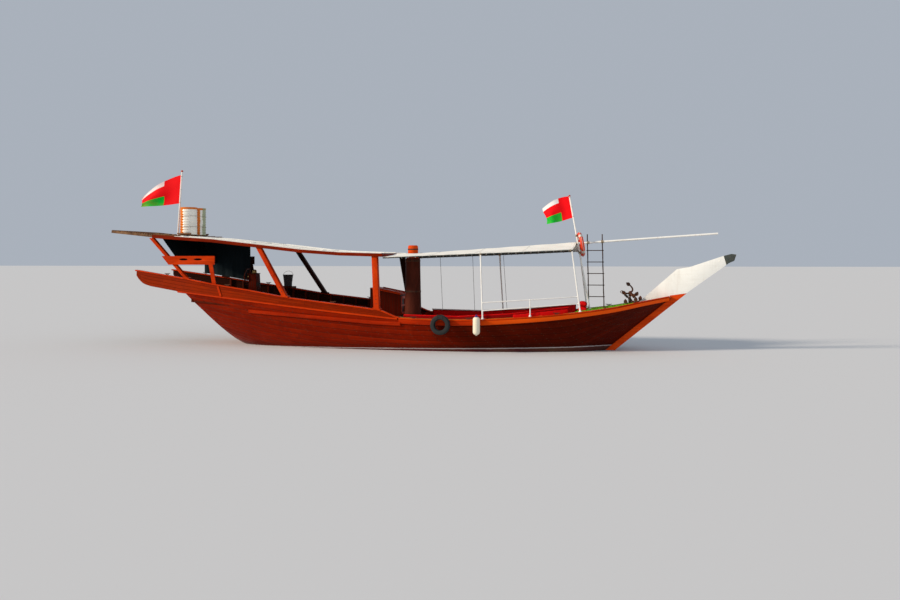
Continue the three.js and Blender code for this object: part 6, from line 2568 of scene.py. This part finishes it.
# Cylinder fender: moulded ribs, a dark end with its eye, and its line
fenderAt = (1.28, -(beamAt(1.28) + 0.042) - 0.1071)
fenderRows = [(0.0, 0.540), (0.022, 0.540), (0.030, 0.556), (0.058, 0.566), (0.088, 0.592), (0.1045, 0.625)]
for step in range(10):
    fenderRows.extend([(0.1045, 0.640 + step * 0.040), (0.1075, 0.650 + step * 0.040),
                       (0.1075, 0.664 + step * 0.040)])
fenderRows.extend([(0.1045, 1.035), (0.088, 1.064), (0.058, 1.088), (0.030, 1.096), (0.022, 1.110),
                   (0.0, 1.110)])
makePiece("fender_body", [turnedShape(fenderRows, (*fenderAt, 0), sides=36)], "vinyl",
          replaces=["cylinder_fender"],
          sharp=30)
makePiece("fender_eye", [
    tube([(fenderAt[0] + 0.026 * math.cos(t), fenderAt[1], 1.128 + 0.026 * math.sin(t))
          for t in spread(0, 2 * math.pi, 21)[:-1]],
         0.008, 10, True),
    turnedShape([(0.0, 1.0895), (0.06, 1.0895), (0.042, 1.112), (0.025, 1.125), (0.0, 1.126)],
                (*fenderAt, 0), sides=24),
], "blueVinyl")

hangers = []
bandY = -(beamAt(1.28) + 0.052)
hangers.append([(fenderAt[0], fenderAt[1], 1.15),
                (fenderAt[0] + 0.01, bandY - 0.004, gunwaleTop(1.28) - 0.02),
                (fenderAt[0] + 0.015, bandY + 0.02, gunwaleTop(1.28) + 0.010),
                (fenderAt[0] + 0.02, bandY + 0.14, gunwaleTop(1.28) + 0.010),
                (fenderAt[0] + 0.02, bandY + 0.20, gunwaleTop(1.28) - 0.05)])
for dx in (-0.07, 0.07):
    x = tyrePlan["x"] + dx
    top = gunwaleTop(x)
    edge = -(beamAt(x) + 0.052)
    path = [(x, tyreY + 0.02, tyrePlan["z"] + 0.165)]
    path.append((x, tyreY - 0.075, tyrePlan["z"] + 0.175))
    path.append((x, tyreY - 0.098, tyrePlan["z"] + 0.23))
    path.append((x, tyreY - 0.06, tyrePlan["z"] + 0.312))
    path.append((x, edge - 0.01, top + 0.006))
    path.append((x + 0.02, edge + 0.09, top + 0.012))
    path.append((x + 0.03, edge + 0.20, top + 0.008))
    path.append((x + 0.03, edge + 0.215, top - 0.06))
    hangers.append(path)
rope("fender_lines", hangers, 0.010, "darkRope", step=1.2)


# Grapnels: one spread on the turf, one standing on it with its flukes in the air, lashed where they cross
def curved(start, bend, end, steps=18):
    a, b, c = Vector(start), Vector(bend), Vector(end)
    b = b * 2 - (a + c) / 2
    return [a * (1 - t) ** 2 + b * (2 * t * (1 - t)) + c * t * t for t in spread(0, 1, steps)]


def fluke(start, bend, end, thick):
    arm = curved(start, bend, end)
    shapes = [tube(arm, lambda share: thick * (1 - 0.35 * share), 12)]
    way = (arm[-1] - arm[-3]).normalized()
    wide = way.cross(Vector((0.2, 1, 0.1))).normalized()
    facing = way.cross(wide).normalized()
    spade = [(-0.13, 0.014), (-0.085, 0.058), (-0.03, 0.052), (0.018, 0.0), (-0.03, -0.052),
             (-0.085, -0.058), (-0.13, -0.014)]
    face = [arm[-1] + way * (a - 0.018) + wide * b for a, b in spade]
    shapes.append(loft([[tuple(p + facing * 0.004) for p in face],
                        [tuple(p + facing * 0.015) for p in face]]))
    return shapes


def eyeRing(head, along, radius=0.036):
    side = along.cross(Vector((0, 1, 0))).normalized()
    ring = [tuple(head + along * (radius * 0.6) + side * (radius * math.cos(t))
                  + along * (radius * math.sin(t)))
            for t in spread(0, 2 * math.pi, 23)[:-1]]
    return tube(ring, 0.009, 10, True)


grapnels = {
    "lowFoot": (5.800, -0.200),
    "lowHead": (5.480, -0.260, 1.800),
    "crown": (5.720, -0.200, 1.790),
    "base": (5.699, -0.243),
    "flukes": (((5.850, -0.150, 1.725), (5.950, -0.100, 1.810)),
               ((5.780, -0.120, 1.920), (5.595, -0.040, 2.090)),
               ((5.590, -0.250, 1.770), (5.475, -0.300, 1.850)),
               ((5.800, -0.310, 1.690), (5.860, -0.400, 1.760))),
}


def grapnelShapes(values):
    x, y = values["lowFoot"]
    foot = Vector((x, y, turfTop(x) + 0.045))
    head = Vector(values["lowHead"])
    shapes = [rod(foot, head, 0.022, 14), ball(tuple(foot), 0.040), eyeRing(head, (head - foot).normalized())]
    for k in range(4):
        angle = k * math.pi / 2 + 0.4

        def spot(reach, rise):
            place = x + math.cos(angle) * reach
            return (place, y + math.sin(angle) * reach, turfTop(place) + rise)
        shapes.extend(fluke(foot, spot(0.180, 0.026), spot(0.245, 0.180), 0.026))
    crown = Vector(values["crown"])
    low = Vector((*values["base"], turfTop(values["base"][0]) + 0.003))
    shapes.append(rod(low, crown, 0.029, 14))
    shapes.append(ball(tuple(crown), 0.056))
    for bend, tip in values["flukes"]:
        shapes.extend(fluke(crown, bend, tip, 0.029))
    return shapes


makePiece("grapnel_irons", grapnelShapes(grapnels), "iron", replaces=["grapnel_anchors"],
          sharp=42)
lowFoot = Vector((5.800, -0.200, turfTop(5.800) + 0.045))
lowHead = Vector(grapnels["lowHead"])
lowWay = (lowHead - lowFoot).normalized()
upWay = (Vector(grapnels["crown"]) - Vector((5.699, -0.243, 1.45))).normalized()
lashing = [wraps(tuple(lowFoot.lerp(lowHead, share)), tuple(lowWay), 0.032, 6.0, 0.019, 16)
           for share in (0.28, 0.62)]
lashing.append(wraps(tuple(Vector((5.706, -0.229, 1.56))), tuple(upWay), 0.034, 7.0, 0.019, 16))
lashing.append(wraps(tuple(Vector((5.716, -0.208, 1.73))), tuple(upWay), 0.046, 4.0, 0.021, 16))
rope("grapnel_lashings", lashing, 0.009, "darkRope", step=1.1)
print("fenders and grapnels set")

# Bucket on a bracket of the port rail, and the lines that hold the awning down to port
bucketX = -6.22
restGap = 0.0005
bucketAt = (bucketX, beamAt(bucketX) - 0.20, railTop(bucketX) + 0.032)
makePiece("bucket_shelf", [
    boxShape((-6.44, beamAt(bucketX) - 0.42, railTop(-6.02) + restGap),
             (-6.00, beamAt(bucketX) + 0.02, railTop(bucketX) + 0.0315)),
    beamShape((bucketX, beamAt(bucketX) - 0.38, railTop(bucketX) + restGap),
              (bucketX, beamAt(bucketX) - 0.07, railTop(bucketX) - 0.28), 0.05, 0.035, (1, 0, 0)),
], "brownX", bevel=0.004)
bucketRows = [(0.0, 0.0), (0.128, 0.0), (0.138, 0.006), (0.143, 0.12), (0.176, 0.385), (0.186, 0.388),
              (0.189, 0.402), (0.182, 0.408),
              (0.171, 0.402), (0.138, 0.12), (0.130, 0.018), (0.0, 0.016)]
makePiece("bucket_shell", [turnedShape(bucketRows, bucketAt, sides=40)], "bucket", sharp=50)
bail = [(bucketAt[0] + 0.184 * math.cos(t), bucketAt[1] + 0.05 * math.sin(t),
         bucketAt[2] + 0.385 + 0.15 * math.sin(t)) for t in spread(0, math.pi, 22)]
makePiece("bucket_bail", [tube(bail, 0.005, 8)], "iron")

tieLines = []
for headX, footX in ((-0.72, -0.70), (0.40, 0.43), (1.36, 1.40), (1.46, 1.56)):
    head = (headX, edgeY(headX) + 0.01, pipeZ(headX) - 0.03)
    foot = (footX, beamAt(footX) - 0.05, gunwaleTop(footX) + 0.035)
    tieLines.append(sagging(head, foot, 0.004, 12))
rope("awning_ties", tieLines, 0.007, "darkRope", step=1.4)


# Cleats along the rails where lines are made fast
def cleat(x, y, z):
    base = boxShape((x - 0.045, y - 0.02, z), (x + 0.045, y + 0.02, z + 0.012))
    post = [boxShape((x + dx - 0.011, y - 0.011, z + 0.012), (x + dx + 0.011, y + 0.011, z + 0.034))
            for dx in (-0.028, 0.028)]
    horn = tube([(x - 0.10, y, z + 0.048), (x - 0.05, y, z + 0.038), (x + 0.05, y, z + 0.038),
                 (x + 0.10, y, z + 0.048)], 0.011, 10)
    return [base, *post, horn]


cleatShapes = []
for side in (-1, 1):
    for x in (-0.70, 1.42 if side > 0 else 1.0, 3.6, 5.0):
        cleatShapes.extend(cleat(x, side * (beamAt(x) - 0.05), gunwaleTop(x) + restGap))
    for x in (-3.3, -7.0, -9.3):
        slope = max(railTop(x - 0.05), railTop(x + 0.05))
        cleatShapes.extend(cleat(x, side * (beamAt(x) - 0.03), slope + restGap))
makePiece("rail_cleats", cleatShapes, "iron", bevel=0.002)
print("fittings made")
